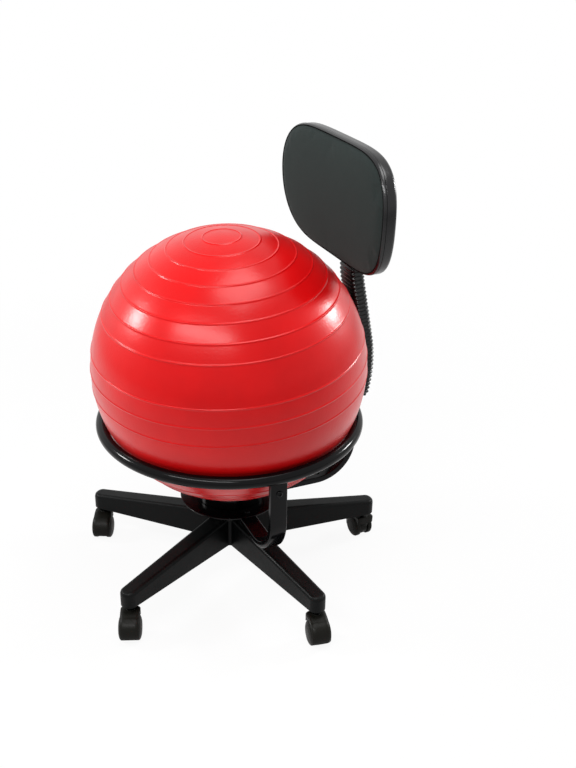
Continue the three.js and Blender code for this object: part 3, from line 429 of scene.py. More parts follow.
def z_onto(direction):
    """A matrix that turns +Z onto a direction."""
    third = np.array(direction) / np.linalg.norm(direction)
    helper = np.array([1.0, 0, 0]) if abs(third[0]) < 0.9 else np.array([0, 1.0, 0])
    second = np.cross(third, helper)
    second /= np.linalg.norm(second)
    return np.column_stack([np.cross(second, third), second, third])


def lathe(profile, sides=64, lobes=None):
    """A profile of [radius, height] turned about +Z: x = r cos a, y = r sin a. With lobes, a function of the
    angle and the row scales the radius."""
    radius, height = np.array(profile, float).T
    angle = np.linspace(0, 2 * np.pi, sides, endpoint=False)
    scale = 1 if lobes is None else lobes(angle[None, :], np.arange(len(radius))[:, None])
    reach = radius[:, None] * scale
    rings = np.stack([
        reach * np.cos(angle),
        reach * np.sin(angle),
        np.broadcast_to(height[:, None], (len(height), sides)),
    ], -1)
    return skin(rings)


def rounded_profile(points, radius, steps=4):
    """A profile whose inner corners are rounded: each corner is replaced by a curve that starts and ends
    at the radius, or nearer where a side is short, and is a quadratic blend of the two sides."""
    points = np.array(points, float)
    before, here, after = points[:-2], points[1:-1], points[2:]
    shares = np.linspace(0, 1, steps + 1)[None, :, None]
    into = before - here
    out = after - here
    before_length = np.linalg.norm(into, axis=1)
    after_length = np.linalg.norm(out, axis=1)
    reach = np.minimum(radius, ROUND_END_SHARE * np.minimum(before_length, after_length))[:, None]
    start = here + into / before_length[:, None] * reach
    end = here + out / after_length[:, None] * reach
    curve = (1 - shares) ** 2 * start[:, None] + 2 * shares * (1 - shares) * here[:, None]
    curve = curve + shares ** 2 * end[:, None]
    return np.vstack([points[:1], curve.reshape(-1, 2), points[-1:]])


def rounded_rectangle(width, depth, corner, steps=6):
    """The outline of a rectangle, as [across, out] pairs, anticlockwise: a quarter circle at each corner."""
    angle = np.linspace(0, np.pi / 2, steps + 1)
    quarters = [(1, 1, 0), (-1, 1, 1), (-1, -1, 2), (1, -1, 3)]
    return np.vstack([
        np.column_stack([
            side * (width / 2 - corner) + corner * np.cos(angle + quarter * np.pi / 2),
            end * (depth / 2 - corner) + corner * np.sin(angle + quarter * np.pi / 2),
        ])
        for side, end, quarter in quarters
    ])


def rounded_block(width, depth, height, corner, edge, steps=4):
    """A block about the origin with upright corners and softened upper and lower edges: its outline is drawn
    in along a quarter circle at each end."""
    angle = np.linspace(0, np.pi / 2, steps + 1)
    insets = edge * (1 - np.sin(angle))
    heights = height / 2 - edge * (1 - np.cos(angle))
    insets, heights = np.r_[insets, insets[::-1]], np.r_[-heights, heights[::-1]]
    rings = []
    for inset, level in zip(insets, heights):
        outline = rounded_rectangle(width - 2 * inset, depth - 2 * inset, max(corner - inset, edge / 4))
        rings.append(np.column_stack([outline, np.full(len(outline), level)]))
    return skin(np.array(rings))


def bent_path(corners, radii, steps=16):
    """Points and directions along straight runs between corners [reach, height], with a round bend of the
    given radius at each inner corner: the bend starts radius times tan(half the turn) before the corner."""
    corners = np.array(corners, float)
    runs = np.diff(corners, axis=0)
    runs /= np.linalg.norm(runs, axis=1)[:, None]
    places, headings = [corners[0]], [runs[0]]
    for corner, before, after, radius in zip(corners[1:-1], runs, runs[1:], radii):
        turn = math.atan2(before[0] * after[1] - before[1] * after[0], before @ after)
        side = math.copysign(1, turn) * np.array([-before[1], before[0]])
        start = corner - before * radius * math.tan(abs(turn) / 2)
        angle = np.linspace(0, abs(turn), steps + 1)[:, None]
        places.append(start + radius * (np.sin(angle) * before + (1 - np.cos(angle)) * side))
        headings.append(np.cos(angle) * before + np.sin(angle) * side)
    places.append(corners[-1])
    headings.append(runs[-1])
    return np.vstack(places), np.vstack(headings)


def along(path, lengths):
    """Points and directions of a path at distances along it, between its own points in proportion."""
    places, headings = path
    marks = np.r_[0, np.cumsum(np.linalg.norm(np.diff(places, axis=0), axis=1))]
    place = np.column_stack([np.interp(lengths, marks, column) for column in places.T])
    heading = np.column_stack([np.interp(lengths, marks, column) for column in headings.T])
    return place, heading / np.linalg.norm(heading, axis=1)[:, None]


def length_at_height(path, height):
    """The distance along a rising path at which it reaches a height."""
    places = path[0]
    marks = np.r_[0, np.cumsum(np.linalg.norm(np.diff(places, axis=0), axis=1))]
    rising = places[:, 1] > BAR_MIDDLE + GAP
    return float(np.interp(height, places[rising, 1], marks[rising]))


def carried(sections, path):
    """Rings of a section of [across, out] pairs along a path in the plane of Y and Z. One section serves
    every place, or each place has its own."""
    places, headings = path
    sections = np.broadcast_to(sections, (len(places), *np.shape(sections)[-2:]))
    across, out = sections[..., 0], sections[..., 1]
    return np.stack([
        across,
        places[:, None, 0] + out * headings[:, None, 1],
        places[:, None, 1] - out * headings[:, None, 0],
    ], -1)


def flat_tube(path):
    """A flat tube with open ends: the outer outline carried out along the path and the inner one back."""
    outer = carried(rounded_rectangle(BAR_WIDTH, BAR_DEPTH, BAR_CORNER), path)
    inner = carried(rounded_rectangle(
        BAR_WIDTH - 2 * BAR_WALL,
        BAR_DEPTH - 2 * BAR_WALL,
        BAR_CORNER - BAR_WALL,
    ), path)
    return skin(np.concatenate([outer, inner[::-1]]), looped=True)


def hoop(reach, radius, height=0, sides=256, tube_sides=28):
    """A ring of round tube about +Z: reach plus radius cos b from the axis, height plus radius sin b up."""
    turn = np.linspace(0, 2 * np.pi, tube_sides, endpoint=False)[:, None]
    angle = np.linspace(0, 2 * np.pi, sides, endpoint=False)[None, :]
    distance = reach + radius * np.cos(turn)
    level = np.broadcast_to(height + radius * np.sin(turn), (tube_sides, sides))
    return skin(np.stack([distance * np.cos(angle), distance * np.sin(angle), level], -1), looped=True)


def tube_round(path, radius, sides=10):
    """A closed tube round a loop of points: a circle square to the loop at each point."""
    ahead = np.roll(path, -1, axis=0) - np.roll(path, 1, axis=0)
    ahead /= np.linalg.norm(ahead, axis=1)[:, None]
    first = np.cross(ahead, (0, 1.0, 0))
    first /= np.linalg.norm(first, axis=1)[:, None]
    second = np.cross(ahead, first)
    turn = np.linspace(0, 2 * np.pi, sides, endpoint=False)[:, None]
    spoke = np.cos(turn) * first[:, None] + np.sin(turn) * second[:, None]
    return skin(path[:, None] + radius * spoke, looped=True)


# Objects

def new_object(name, shape, material=None):
    """A mesh object at the origin with a shape's faces, smooth but for its sharp edges."""
    mesh = bpy.data.meshes.new(name)
    mesh.from_pydata(shape[0].tolist(), [], shape[1].tolist() + shape[2].tolist())
    thing = bpy.data.objects.new(name, mesh)
    bpy.context.scene.collection.objects.link(thing)
    if material:
        mesh.materials.append(material)
    smooth(mesh)
    return thing


def smooth(mesh):
    """Shades a mesh smooth, with its sharp edges kept."""
    mesh.polygons.foreach_set("use_smooth", np.ones(len(mesh.polygons), bool))
    mesh.set_sharp_from_angle(angle=SHARP_ANGLE)


def applied(thing):
    """The object with its modifiers applied to its mesh."""
    bpy.context.view_layer.update()
    result = bpy.data.meshes.new_from_object(thing.evaluated_get(bpy.context.evaluated_depsgraph_get()))
    thing.modifiers.clear()
    thing.data = result
    result.name = thing.name
    smooth(result)
    return thing


def combined(thing, shape, operation):
    """The object joined with, or cut by, a closed shape."""
    tool = new_object("tool", shape)
    modifier = thing.modifiers.new("combine", "BOOLEAN")
    modifier.operation = operation
    modifier.solver = "EXACT"
    modifier.object = tool
    applied(thing)
    bpy.data.objects.remove(tool)
    return thing


def settle(thing, slot, body, *nodes):
    """Puts a piece under the empty of its body and hides the nodes of the frame that it stands for. The slot
    is not used.
    """
    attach(thing, body)
    if nodes:
        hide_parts(*nodes)
    return thing


def dress(name, material):
    """Gives a node of the frame its material."""
    node = frame["nodes"][name]
    node.data.materials.clear()
    node.data.materials.append(material)
    for slot in node.material_slots:
        slot.material = material


# Materials

def add_node(tree, kind, inputs=(), **settings):
    """A new node, with its settings and its inputs given as values or as sockets to link."""
    node = tree.nodes.new(kind)
    for key, value in settings.items():
        setattr(node, key, value)
    for key, value in dict(inputs).items():
        if isinstance(value, bpy.types.NodeSocket):
            tree.links.new(value, node.inputs[key])
        else:
            node.inputs[key].default_value = value
    return node


def start_material(name, colour, roughness, **values):
    """A material whose shader has constant values, with its nodes, its shader and the object coordinates of
    its piece. One that is there already comes without them."""
    finish = f"{name}_finish"
    material = bpy.data.materials.get(finish)
    if material:
        return material, None, None, None
    material = bpy.data.materials.new(finish)
    material.use_nodes = True
    tree = material.node_tree
    shader = tree.nodes["Principled BSDF"]
    shader.inputs["Base Color"].default_value = (*colour, 1)
    shader.inputs["Roughness"].default_value = roughness
    for key, value in values.items():
        shader.inputs[key.replace("_", " ")].default_value = value
    place = add_node(tree, "ShaderNodeTexCoord").outputs["Object"]
    return material, tree, shader, place


def worked_out(tree, operation, *values):
    """The result of one step of arithmetic on values or sockets."""
    return add_node(tree, "ShaderNodeMath", dict(enumerate(values)), operation=operation).outputs[0]


def noise(tree, place, scale, detail=3.0, rough=0.55):
    """Fractal noise from 0 to 1 on the given coordinates."""
    return add_node(tree, "ShaderNodeTexNoise", {
        "Vector": place, "Scale": scale, "Detail": detail, "Roughness": rough,
    }).outputs["Fac"]


def spread(tree, value, low, high, low_share=0.3, high_share=0.7):
    """Maps a noise value from between two shares to between two results."""
    return add_node(tree, "ShaderNodeMapRange", {
        "Value": value, "From Min": low_share, "From Max": high_share, "To Min": low, "To Max": high,
    }).outputs["Result"]


def mixed(tree, share, first, second):
    """A colour between two, by a share."""
    node = add_node(tree, "ShaderNodeMix", data_type="RGBA")
    tree.links.new(share, node.inputs[0])
    node.inputs[6].default_value = (*first, 1)
    node.inputs[7].default_value = (*second, 1)
    return node.outputs[2]


def stretched(tree, place, scale):
    """Coordinates scaled along each axis, so that a pattern on them is drawn out or pressed."""
    return add_node(tree, "ShaderNodeMapping", {"Vector": place, "Scale": scale}).outputs["Vector"]


def bumped(tree, shader, height, strength, distance):
    """Gives the shader and its coat the relief of a pattern."""
    bump = add_node(tree, "ShaderNodeBump", {"Height": height, "Strength": strength, "Distance": distance})
    for socket in ("Normal", "Coat Normal"):
        tree.links.new(bump.outputs["Normal"], shader.inputs[socket])


def times(colour, share):
    """A colour with each channel multiplied."""
    return tuple(channel * share for channel in colour)


def grained(name, colour, second, roughness, span, grain, strength, depth, **values):
    """A moulded or painted finish: cloudy colour between two tones, roughness that strays by a span, and a
    fine grain of a strength and a depth."""
    material, tree, shader, place = start_material(name, colour, roughness, **values)
    if tree:
        clouds = spread(tree, noise(tree, place, scale=9.0), 0, 1)
        tree.links.new(mixed(tree, clouds, colour, second), shader.inputs["Base Color"])
        uneven = spread(tree, noise(tree, place, scale=40.0), roughness - span, roughness + span)
        tree.links.new(uneven, shader.inputs["Roughness"])
        bumped(tree, shader, noise(tree, place, grain, detail=2.0), strength, depth)
    return material


def ball_vinyl():
    """Thick soft vinyl: red all through, with a satin skin whose fine grain breaks up the highlights."""
    look = bpy.context.scene.chair_ball
    colour = tuple(look.colour)
    return grained(
        "ball_vinyl", colour, second=times(colour, 0.86), roughness=look.roughness,
        span=0.03, grain=230.0, strength=0.34, depth=0.0006,
        Specular_IOR_Level=0.2,
        Specular_Tint=(1, 0.15, 0.15, 1),
        Coat_Weight=0.42,
        Coat_Roughness=0.25,
        Sheen_Weight=0.04,
        Sheen_Roughness=0.3,
    )


def black_paint():
    """Baked black paint: nearly black, glossy, with faint orange peel."""
    look = bpy.context.scene.chair_frame
    colour = tuple(look.colour)
    return grained(
        "black_paint", colour, second=times(colour, 1.4), roughness=look.roughness,
        span=0.02, grain=420.0, strength=0.02, depth=0.0002, Specular_IOR_Level=0.13)


def base_nylon():
    """Glass-filled nylon with the fine grain of its mould."""
    look = bpy.context.scene.chair_base
    colour = tuple(look.colour)
    return grained(
        "base_nylon", colour, second=times(colour, 1.15), roughness=look.roughness,
        span=0.05, grain=1100.0, strength=0.1, depth=0.0003, Specular_IOR_Level=0.11)


def caster_nylon():
    """The casters' nylon, a little browner than the base's."""
    colour = tuple(bpy.context.scene.chair_base.caster_colour)
    return grained(
        "caster_nylon", colour, second=times(colour, 1.2), roughness=0.4,
        span=0.05, grain=1200.0, strength=0.12, depth=0.0003, Specular_IOR_Level=0.11)


def sleeve_rubber():
    """Smooth black rubber."""
    colour = tuple(bpy.context.scene.chair_sleeve.colour)
    return grained(
        "sleeve_rubber", colour, second=times(colour, 1.3), roughness=0.24,
        span=0.05, grain=900.0, strength=0.15, depth=0.0003, Specular_IOR_Level=0.3)


def shell_plastic():
    """Black plastic with a soft gloss."""
    colour = tuple(bpy.context.scene.chair_back.shell_colour)
    return grained(
        "shell_plastic", colour, second=times(colour, 1.25), roughness=0.26,
        span=0.03, grain=260.0, strength=0.05, depth=0.0003, Specular_IOR_Level=0.4)


def seam_thread():
    """Matt black thread."""
    return grained(
        "seam_thread", (0.0015, 0.0015, 0.0015), second=(0.0025, 0.0025, 0.0025), roughness=0.9,
        span=0.05, grain=900.0, strength=0.2, depth=0.0003, Specular_IOR_Level=0.05)


def bush_plastic():
    """Unpainted bearing plastic."""
    return grained(
        "bush_plastic", (0.66, 0.62, 0.54), second=(0.6, 0.56, 0.48), roughness=0.4,
        span=0.05, grain=900.0, strength=0.1, depth=0.0003)


def plug_plastic():
    """White plastic."""
    return grained(
        "plug_plastic", (0.8, 0.8, 0.77), second=(0.74, 0.74, 0.71), roughness=0.35,
        span=0.04, grain=900.0, strength=0.1, depth=0.0002)


def bright_steel():
    """Zinc plating: pale metal with fine turned marks along Z and faint clouds."""
    material, tree, shader, place = start_material(
        "bright_steel", (0.6, 0.61, 0.63), roughness=0.28, Metallic=1.0)
    if tree:
        clouds = spread(tree, noise(tree, place, scale=60.0), 0, 1)
        tone = mixed(tree, clouds, (0.62, 0.63, 0.65), (0.5, 0.51, 0.53))
        tree.links.new(tone, shader.inputs["Base Color"])
        stretch = stretched(tree, place, (1, 1, 30))
        uneven = spread(tree, noise(tree, stretch, scale=120.0), low=0.2, high=0.38)
        tree.links.new(uneven, shader.inputs["Roughness"])
        bumped(tree, shader, noise(tree, stretch, scale=300.0, detail=2.0), strength=0.08, distance=0.0002)
    return material


def plywood():
    """Veneer: long bands of grain along X, bent by noise, over a pale wood colour."""
    material, tree, shader, place = start_material("plywood", (0.5, 0.33, 0.18), roughness=0.65)
    if tree:
        stretch = stretched(tree, place, (0.3, 1, 1))
        grain = add_node(tree, "ShaderNodeTexWave", {
            "Vector": stretch, "Scale": 45.0, "Distortion": 6.0, "Detail": 3.0, "Detail Scale": 2.0,
        }, bands_direction="Z").outputs["Fac"]
        tree.links.new(mixed(tree, grain, (0.55, 0.38, 0.21), (0.4, 0.25, 0.13)), shader.inputs["Base Color"])
        bumped(tree, shader, grain, strength=0.2, distance=0.0004)
    return material


def back_fabric():
    """Plain weave: the product of bands along X and bands along Z gives the threads, with mottled yarn."""
    look = bpy.context.scene.chair_back
    colour = tuple(look.fabric_colour)
    material, tree, shader, place = start_material(
        "back_fabric", colour, roughness=0.92,
        Sheen_Weight=0.08, Sheen_Roughness=0.45, Specular_IOR_Level=0.08)
    if tree:
        shader.inputs["Sheen Tint"].default_value = (0.8, 0.88, 0.85, 1)
        pitch = 2 * math.pi / look.thread_pitch
        parts = add_node(tree, "ShaderNodeSeparateXYZ", {"Vector": place})
        waves = [
            worked_out(tree, "SINE", worked_out(tree, "MULTIPLY", parts.outputs[axis], pitch))
            for axis in ("X", "Z")
        ]
        weave = worked_out(tree, "MULTIPLY", *waves)
        yarn = noise(tree, place, scale=700.0, detail=4.0, rough=0.7)
        blend = worked_out(tree, "MULTIPLY_ADD", weave, WEAVE_SHARE, yarn)
        light = spread(tree, blend, 0, 1, low_share=0.1, high_share=0.9)
        tone = mixed(tree, light, first=times(colour, 0.6), second=times(colour, 1.55))
        tree.links.new(tone, shader.inputs["Base Color"])
        bumped(tree, shader, blend, strength=0.5, distance=0.0005)
    return material


# Properties

class BallLook(PropertyGroup):
    colour: FloatVectorProperty(
        name="Vinyl", description="Colour of the ball",
        subtype="COLOR", size=3, default=(0.64, 0.002, 0.003))
    roughness: FloatProperty(
        name="Roughness", description="How matt the vinyl is", min=0, max=1, default=0.34)
    ridge_height: FloatProperty(
        name="Ridge height", description="How far the raised rings stand proud",
        unit="LENGTH", default=0.0011)
    ridge_width: FloatProperty(
        name="Ridge width", description="Half the width of a raised ring", unit="LENGTH", default=0.0015)


class FrameLook(PropertyGroup):
    colour: FloatVectorProperty(
        name="Paint", description="Colour of the painted tubes",
        subtype="COLOR", size=3, default=(0.0015, 0.0015, 0.0018))
    roughness: FloatProperty(
        name="Roughness", description="How matt the paint is", min=0, max=1, default=0.14)
    weld_radius: FloatProperty(
        name="Weld", description="Thickness of the weld bead on the ring", unit="LENGTH", default=0.0013)


class SleeveLook(PropertyGroup):
    colour: FloatVectorProperty(
        name="Rubber", description="Colour of the sleeve",
        subtype="COLOR", size=3, default=(0.004, 0.0045, 0.0045))
    rib_depth: FloatProperty(
        name="Rib depth", description="Depth of the grooves between ribs", unit="LENGTH", default=0.0032)
    rib_pitch: FloatProperty(
        name="Rib pitch", description="Distance between ribs", unit="LENGTH", default=0.0088)
    front_share: FloatProperty(
        name="Front", description="How deep the grooves are on the front face, as a share",
        min=0, max=1, default=0.12)


class BackLook(PropertyGroup):
    fabric_colour: FloatVectorProperty(
        name="Fabric", description="Colour of the cushion",
        subtype="COLOR", size=3, default=(0.0175, 0.0235, 0.0225))
    thread_pitch: FloatProperty(
        name="Thread pitch", description="Distance between threads", unit="LENGTH", default=0.0014)
    swell: FloatProperty(
        name="Swell", description="Most that the padding pushes the fabric out", unit="LENGTH", default=0.004)
    fill: FloatProperty(
        name="Fill", description="How tight the padding is", min=0, max=1, default=0.7)
    shell_colour: FloatVectorProperty(
        name="Shell", description="Colour of the plastic shell",
        subtype="COLOR", size=3, default=(0.003, 0.003, 0.0035))


class BaseLook(PropertyGroup):
    colour: FloatVectorProperty(
        name="Nylon", description="Colour of the base",
        subtype="COLOR", size=3, default=(0.0012, 0.0015, 0.0015))
    roughness: FloatProperty(
        name="Roughness", description="How matt the base is", min=0, max=1, default=0.4)
    caster_colour: FloatVectorProperty(
        name="Casters", description="Colour of the casters",
        subtype="COLOR", size=3, default=(0.005, 0.0048, 0.0036))


class StudioLook(PropertyGroup):
    world_strength: FloatProperty(
        name="Surroundings", description="Strength of the light from all round", min=0, default=0.1)
    front_power: FloatProperty(
        name="Front", description="Power of the front lamp", unit="POWER", min=0, default=46)
    right_power: FloatProperty(
        name="Right", description="Power of the lamp on the sitter's right", unit="POWER", min=0, default=36)
    left_power: FloatProperty(
        name="Left", description="Power of the lamp on the sitter's left", unit="POWER", min=0, default=36)
    top_power: FloatProperty(
        name="Top", description="Power of the top lamp", unit="POWER", min=0, default=36)


# Pieces

def on_axis(shape, turn=0.0):
    """A shape drawn about the ball's axis, towards +Y, turned about it and put in its place."""
    return moved(shape, about_z(turn), (*AXIS, 0))


BAR_TURNS = {"left": -math.pi / 2, "right": math.pi / 2, "back": 0.0}


class BuildBall(Operator):
    """The inflated ball with its raised rings, and its valve plug"""
    bl_idname = "chair.build_ball"
    bl_label = "Ball"

    def execute(self, context):
        ball = new_object("ball_skin", self.ball_shape(context.scene.chair_ball), ball_vinyl())
        outward_turn = z_onto(VALVE_DIRECTION)
        recess = BALL_RADIUS - VALVE_RECESS_DEPTH
        tool = lathe([
            (VALVE_BORE_RADIUS, BALL_RADIUS - VALVE_BORE_DEPTH),
            (VALVE_BORE_RADIUS, recess),
            (VALVE_RECESS_RADIUS, recess),
            (VALVE_RECESS_RADIUS, BALL_RADIUS + VALVE_RECESS_DEPTH),
        ], sides=32)
        combined(ball, moved(tool, outward_turn, BALL_CENTRE), "DIFFERENCE")
        settle(ball, "ball_vinyl", "ball_body", "ball")
        plug = lathe(rounded_profile([
            (2 * POLE, recess - PLUG_LENGTH),
            (PLUG_STEM_RADIUS, recess - PLUG_LENGTH),
            (PLUG_STEM_RADIUS, recess + GAP),
            (PLUG_HEAD_RADIUS, recess + GAP),
            (PLUG_HEAD_RADIUS, recess + GAP + PLUG_HEAD_HEIGHT),
            (2 * POLE, recess + GAP + PLUG_HEAD_HEIGHT),
        ], PLUG_EDGE), sides=32)
        stopper = new_object("valve_stopper", moved(plug, outward_turn, BALL_CENTRE), plug_plastic())
        settle(stopper, "plug_plastic", "valve_body", "valve_plug")
        return {"FINISHED"}

    @staticmethod
    def ball_shape(look):
        """A sphere about a leaning axis whose radius rises by a bell curve at each raised ring. A ring fades
        where the steel ring and the cup press on the ball, at two angles from upright."""
        rings = np.r_[
            RING_STEP * np.arange(1, TOP_RINGS + 1),
            BELT_RINGS,
            np.pi - RING_STEP * np.arange(1, BOTTOM_RINGS + 1),
        ]
        half_width = look.ridge_width / BALL_RADIUS
        near = rings[:, None] + half_width * np.linspace(-RIDGE_SPAN, RIDGE_SPAN, RIDGE_ROWS)
        polar = np.unique(np.r_[np.linspace(BALL_POLE, np.pi - BALL_POLE, BALL_ROWS), near.ravel()])
        angle = np.linspace(0, 2 * np.pi, BALL_COLUMNS, endpoint=False)
        polar, angle = polar[:, None], angle[None, :]
        across = np.stack([
            np.sin(polar) * np.cos(angle),
            np.sin(polar) * np.sin(angle),
            np.broadcast_to(np.cos(polar), (len(polar), angle.shape[1])),
        ], -1)
        lean = z_onto((
            math.sin(BALL_LEAN) * math.cos(BALL_LEAN_TOWARDS),
            math.sin(BALL_LEAN) * math.sin(BALL_LEAN_TOWARDS),
            math.cos(BALL_LEAN),
        ))
        direction = across @ lean.T
        rise = np.exp(-((polar - rings[None, :]) / half_width) ** 2).sum(axis=1)[:, None]
        from_top = np.arccos(np.clip(direction[..., 2], -1, 1))
        contacts = [
            math.pi / 2 + math.atan2(BALL_CENTRE[2] - RING_HEIGHT, RING_REACH),
            math.pi - math.asin((CUP_RADIUS - CUP_WALL / 2) / BALL_RADIUS),
        ]
        for contact in contacts:
            rise = rise * np.clip(np.abs(from_top - contact) / RIDGE_FADE - RIDGE_FLAT_SHARE, 0, 1)
        radius = BALL_RADIUS + look.ridge_height * rise
        return skin(BALL_CENTRE + direction * radius[..., None])


class BuildFrame(Operator):
    """The support ring, side arms, back bar, plate and cup"""
    bl_idname = "chair.build_frame"
    bl_label = "Frame"

    def execute(self, context):
        look = context.scene.chair_frame
        paint = black_paint()
        arm_path = bent_path(
            [(BAR_START, BAR_MIDDLE), (ARM_REACH, BAR_MIDDLE), (ARM_REACH, ARM_TOP)],
            [BEND_RADIUS],
            steps=28,
        )
        for side in ("left", "right"):
            arm = new_object(f"{side}_arm_tube", on_axis(flat_tube(arm_path), BAR_TURNS[side]), paint)
            settle(arm, "black_paint", "seat", f"side_arm_{side}")
        back = new_object("back_bar_tube", on_axis(flat_tube(back_path())), paint)
        hole = lathe([(SIGHT_HOLE_RADIUS, BAR_MIDDLE), (SIGHT_HOLE_RADIUS, BAR_MIDDLE + BAR_DEPTH)], sides=32)
        combined(back, on_axis(moved(hole, None, (0, SIGHT_HOLE_REACH, 0))), "DIFFERENCE")
        settle(back, "black_paint", "seat", "back_bar")

        self.build_ring(look, paint)
        plate = lathe(rounded_profile([
            (PLATE_HOLE_RADIUS, PLATE_BOTTOM),
            (PLATE_RADIUS, PLATE_BOTTOM),
            (PLATE_RADIUS, PLATE_TOP),
            (PLATE_HOLE_RADIUS, PLATE_TOP),
        ], PLATE_EDGE), sides=160)
        settle(new_object("round_plate", on_axis(plate), paint), "black_paint", "seat", "mounting_plate")

        def under_ball(radius):
            """The height of the underside of the ball, less the gap, at a distance from its axis."""
            return BALL_CENTRE[2] - math.sqrt((BALL_RADIUS + GAP) ** 2 - radius ** 2)

        rim = CUP_RADIUS - CUP_WALL
        cup = lathe(rounded_profile([
            (5 * POLE, CUP_BOTTOM),
            (CUP_RADIUS, CUP_BOTTOM),
            (CUP_RADIUS, under_ball(CUP_RADIUS)),
            (rim, under_ball(rim)),
            (rim, CUP_BOTTOM + CUP_FLOOR),
            (5 * POLE, CUP_BOTTOM + CUP_FLOOR),
        ], CUP_EDGE), sides=160)
        settle(new_object("ball_dish", on_axis(cup), paint), "black_paint", "seat", "ball_cup")
        return {"FINISHED"}

    @staticmethod
    def build_ring(look, paint):
        """The hoop, two tabs that go down into the arms, and the bead where the hoop's ends are welded."""
        ring = hoop(RING_REACH, TUBE_RADIUS, RING_HEIGHT)
        low = ARM_SCREW_HEIGHT - TAB_END
        high = RING_HEIGHT - TUBE_RADIUS / 2
        tab_reach = ARM_REACH + BAR_DEPTH / 2 - BAR_WALL - SLIDE_GAP - TAB_THICKNESS / 2
        tab = moved(
            rounded_block(TAB_WIDTH, TAB_THICKNESS, high - low, TAB_THICKNESS / 3, TAB_EDGE),
            None,
            (0, tab_reach, (low + high) / 2),
        )
        bead = moved(
            hoop(TUBE_RADIUS, look.weld_radius, sides=48, tube_sides=10),
            z_onto((1, 0, 0)),
            (0, RING_REACH, RING_HEIGHT),
        )
        tabs = [moved(tab, about_z(BAR_TURNS[side])) for side in ("left", "right")]
        piece = new_object("ring_tube", on_axis(merged(ring, *tabs, bead)), paint)
        settle(piece, "black_paint", "seat", "support_ring")


def back_path():
    """The middle line of the back bar: out under the ball, up behind it, and upright behind the backrest."""
    return bent_path(
        [
            (BAR_START, BAR_MIDDLE),
            (BACK_FOOT, BAR_MIDDLE),
            WAIST,
            KNEE,
            (BAR_TOP_REACH, NECK_HEIGHT),
            (BAR_TOP_REACH, BAR_TOP),
        ],
        [BEND_RADIUS, WAIST_RADIUS, KNEE_RADIUS, NECK_RADIUS],
        steps=24,
    )


class BuildFasteners(Operator):
    """The plate's bolts, and the pan-head screws of the arms and the backrest"""
    bl_idname = "chair.build_fasteners"
    bl_label = "Fasteners"

    def execute(self, context):
        steel, paint = bright_steel(), black_paint()
        rows = {
            "inner": (CUP_BOTTOM + CUP_FLOOR + GAP, steel, "bright_steel"),
            "outer": (PLATE_TOP + GAP, paint, "black_paint"),
        }
        for side, turn in BAR_TURNS.items():
            for row, (seat, finish, slot) in rows.items():
                shape = moved(self.bolt(seat), None, (0, BOLT_REACHES[row], 0))
                bolt = new_object(f"{side}_{row}_hex_bolt", on_axis(shape, turn), finish)
                settle(bolt, slot, "seat", f"{side}_bar_{row}_bolt")
        for side in ("left", "right"):
            shape = moved(
                self.pan_screw(ARM_SCREW_LENGTH),
                z_onto((0, 1, 0)),
                (0, ARM_REACH + BAR_DEPTH / 2 + GAP, ARM_SCREW_HEIGHT),
            )
            screw = new_object(f"{side}_arm_pan_screw", on_axis(shape, BAR_TURNS[side]), paint)
            settle(screw, "black_paint", "seat", f"arm_screw_{side}")
            node = f"pad_screw_{side}"
            low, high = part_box(node)
            place = ((low[0] + high[0]) / 2, high[1] - SCREW_HEAD_HEIGHT, PAD_HEIGHT)
            shape = moved(self.pan_screw(high[1] - low[1] - SCREW_HEAD_HEIGHT), z_onto((0, 1, 0)), place)
            screw = new_object(f"{side}_pad_pan_screw", shape, steel)
            settle(screw, "bright_steel", "backrest", node)
        return {"FINISHED"}

    @staticmethod
    def bolt(seat):
        """A bolt with a six-sided head: its radius follows 1 / cos of the angle from the middle of the
        nearest side, and is held in by the chamfer at the top of the head."""
        foot = BAR_MIDDLE - BAR_DEPTH / 2 - GAP
        top = seat + BOLT_HEAD_HEIGHT
        profile = [
            (2 * POLE, foot),
            (BOLT_RADIUS, foot),
            (BOLT_RADIUS, seat),
            (BOLT_HEAD_RADIUS, seat),
            (BOLT_HEAD_RADIUS, top - BOLT_CHAMFER),
            (BOLT_HEAD_RADIUS * BOLT_TOP_SHARE, top),
            (2 * POLE, top),
        ]

        def six_sided(angle, row):
            """The radius of a hexagon at an angle, on the head's two rows, and a circle's on the others."""
            nearest = (angle + np.pi / 6) % (np.pi / 3) - np.pi / 6
            flat = math.cos(math.pi / 6) / np.cos(nearest)
            return np.where((row == 3) | (row == 4), flat, 1.0)

        return lathe(profile, sides=48, lobes=six_sided)

    @staticmethod
    def pan_screw(length):
        """A pan head over a shank: a dome whose height is the head's times a power of 1 less a power of the
        share of the radius, sunk by two crossed slots with soft edges."""
        shares = np.array(SCREW_DOME_SHARES)
        angle = np.linspace(0, 2 * np.pi, 64, endpoint=False)[None, :]
        reach = (SCREW_HEAD_RADIUS * shares)[:, None]
        dome = SCREW_HEAD_HEIGHT * (1 - shares ** SCREW_RIM_POWER)[:, None] ** SCREW_DOME_POWER
        x, y = np.abs(reach * np.cos(angle)), np.abs(reach * np.sin(angle))
        slots = [
            np.clip((CROSS_HALF_WIDTH - a) / CROSS_SOFTNESS + 0.5, 0, 1)
            * np.clip((CROSS_REACH - b) / CROSS_SOFTNESS + 0.5, 0, 1)
            for a, b in ((x, y), (y, x))
        ]
        height = dome - CROSS_DEPTH * np.maximum(*slots)
        head = np.stack([reach * np.cos(angle), reach * np.sin(angle), np.broadcast_to(height, x.shape)], -1)
        shank = np.array([
            (SCREW_RADIUS, 0),
            (SCREW_RADIUS, -length + SCREW_TIP),
            (SCREW_RADIUS - SCREW_TIP, -length),
        ])
        lower = np.stack([
            shank[:, :1] * np.cos(angle),
            shank[:, :1] * np.sin(angle),
            np.broadcast_to(shank[:, 1:], (len(shank), angle.shape[1])),
        ], -1)
        return skin(np.concatenate([head, lower]))


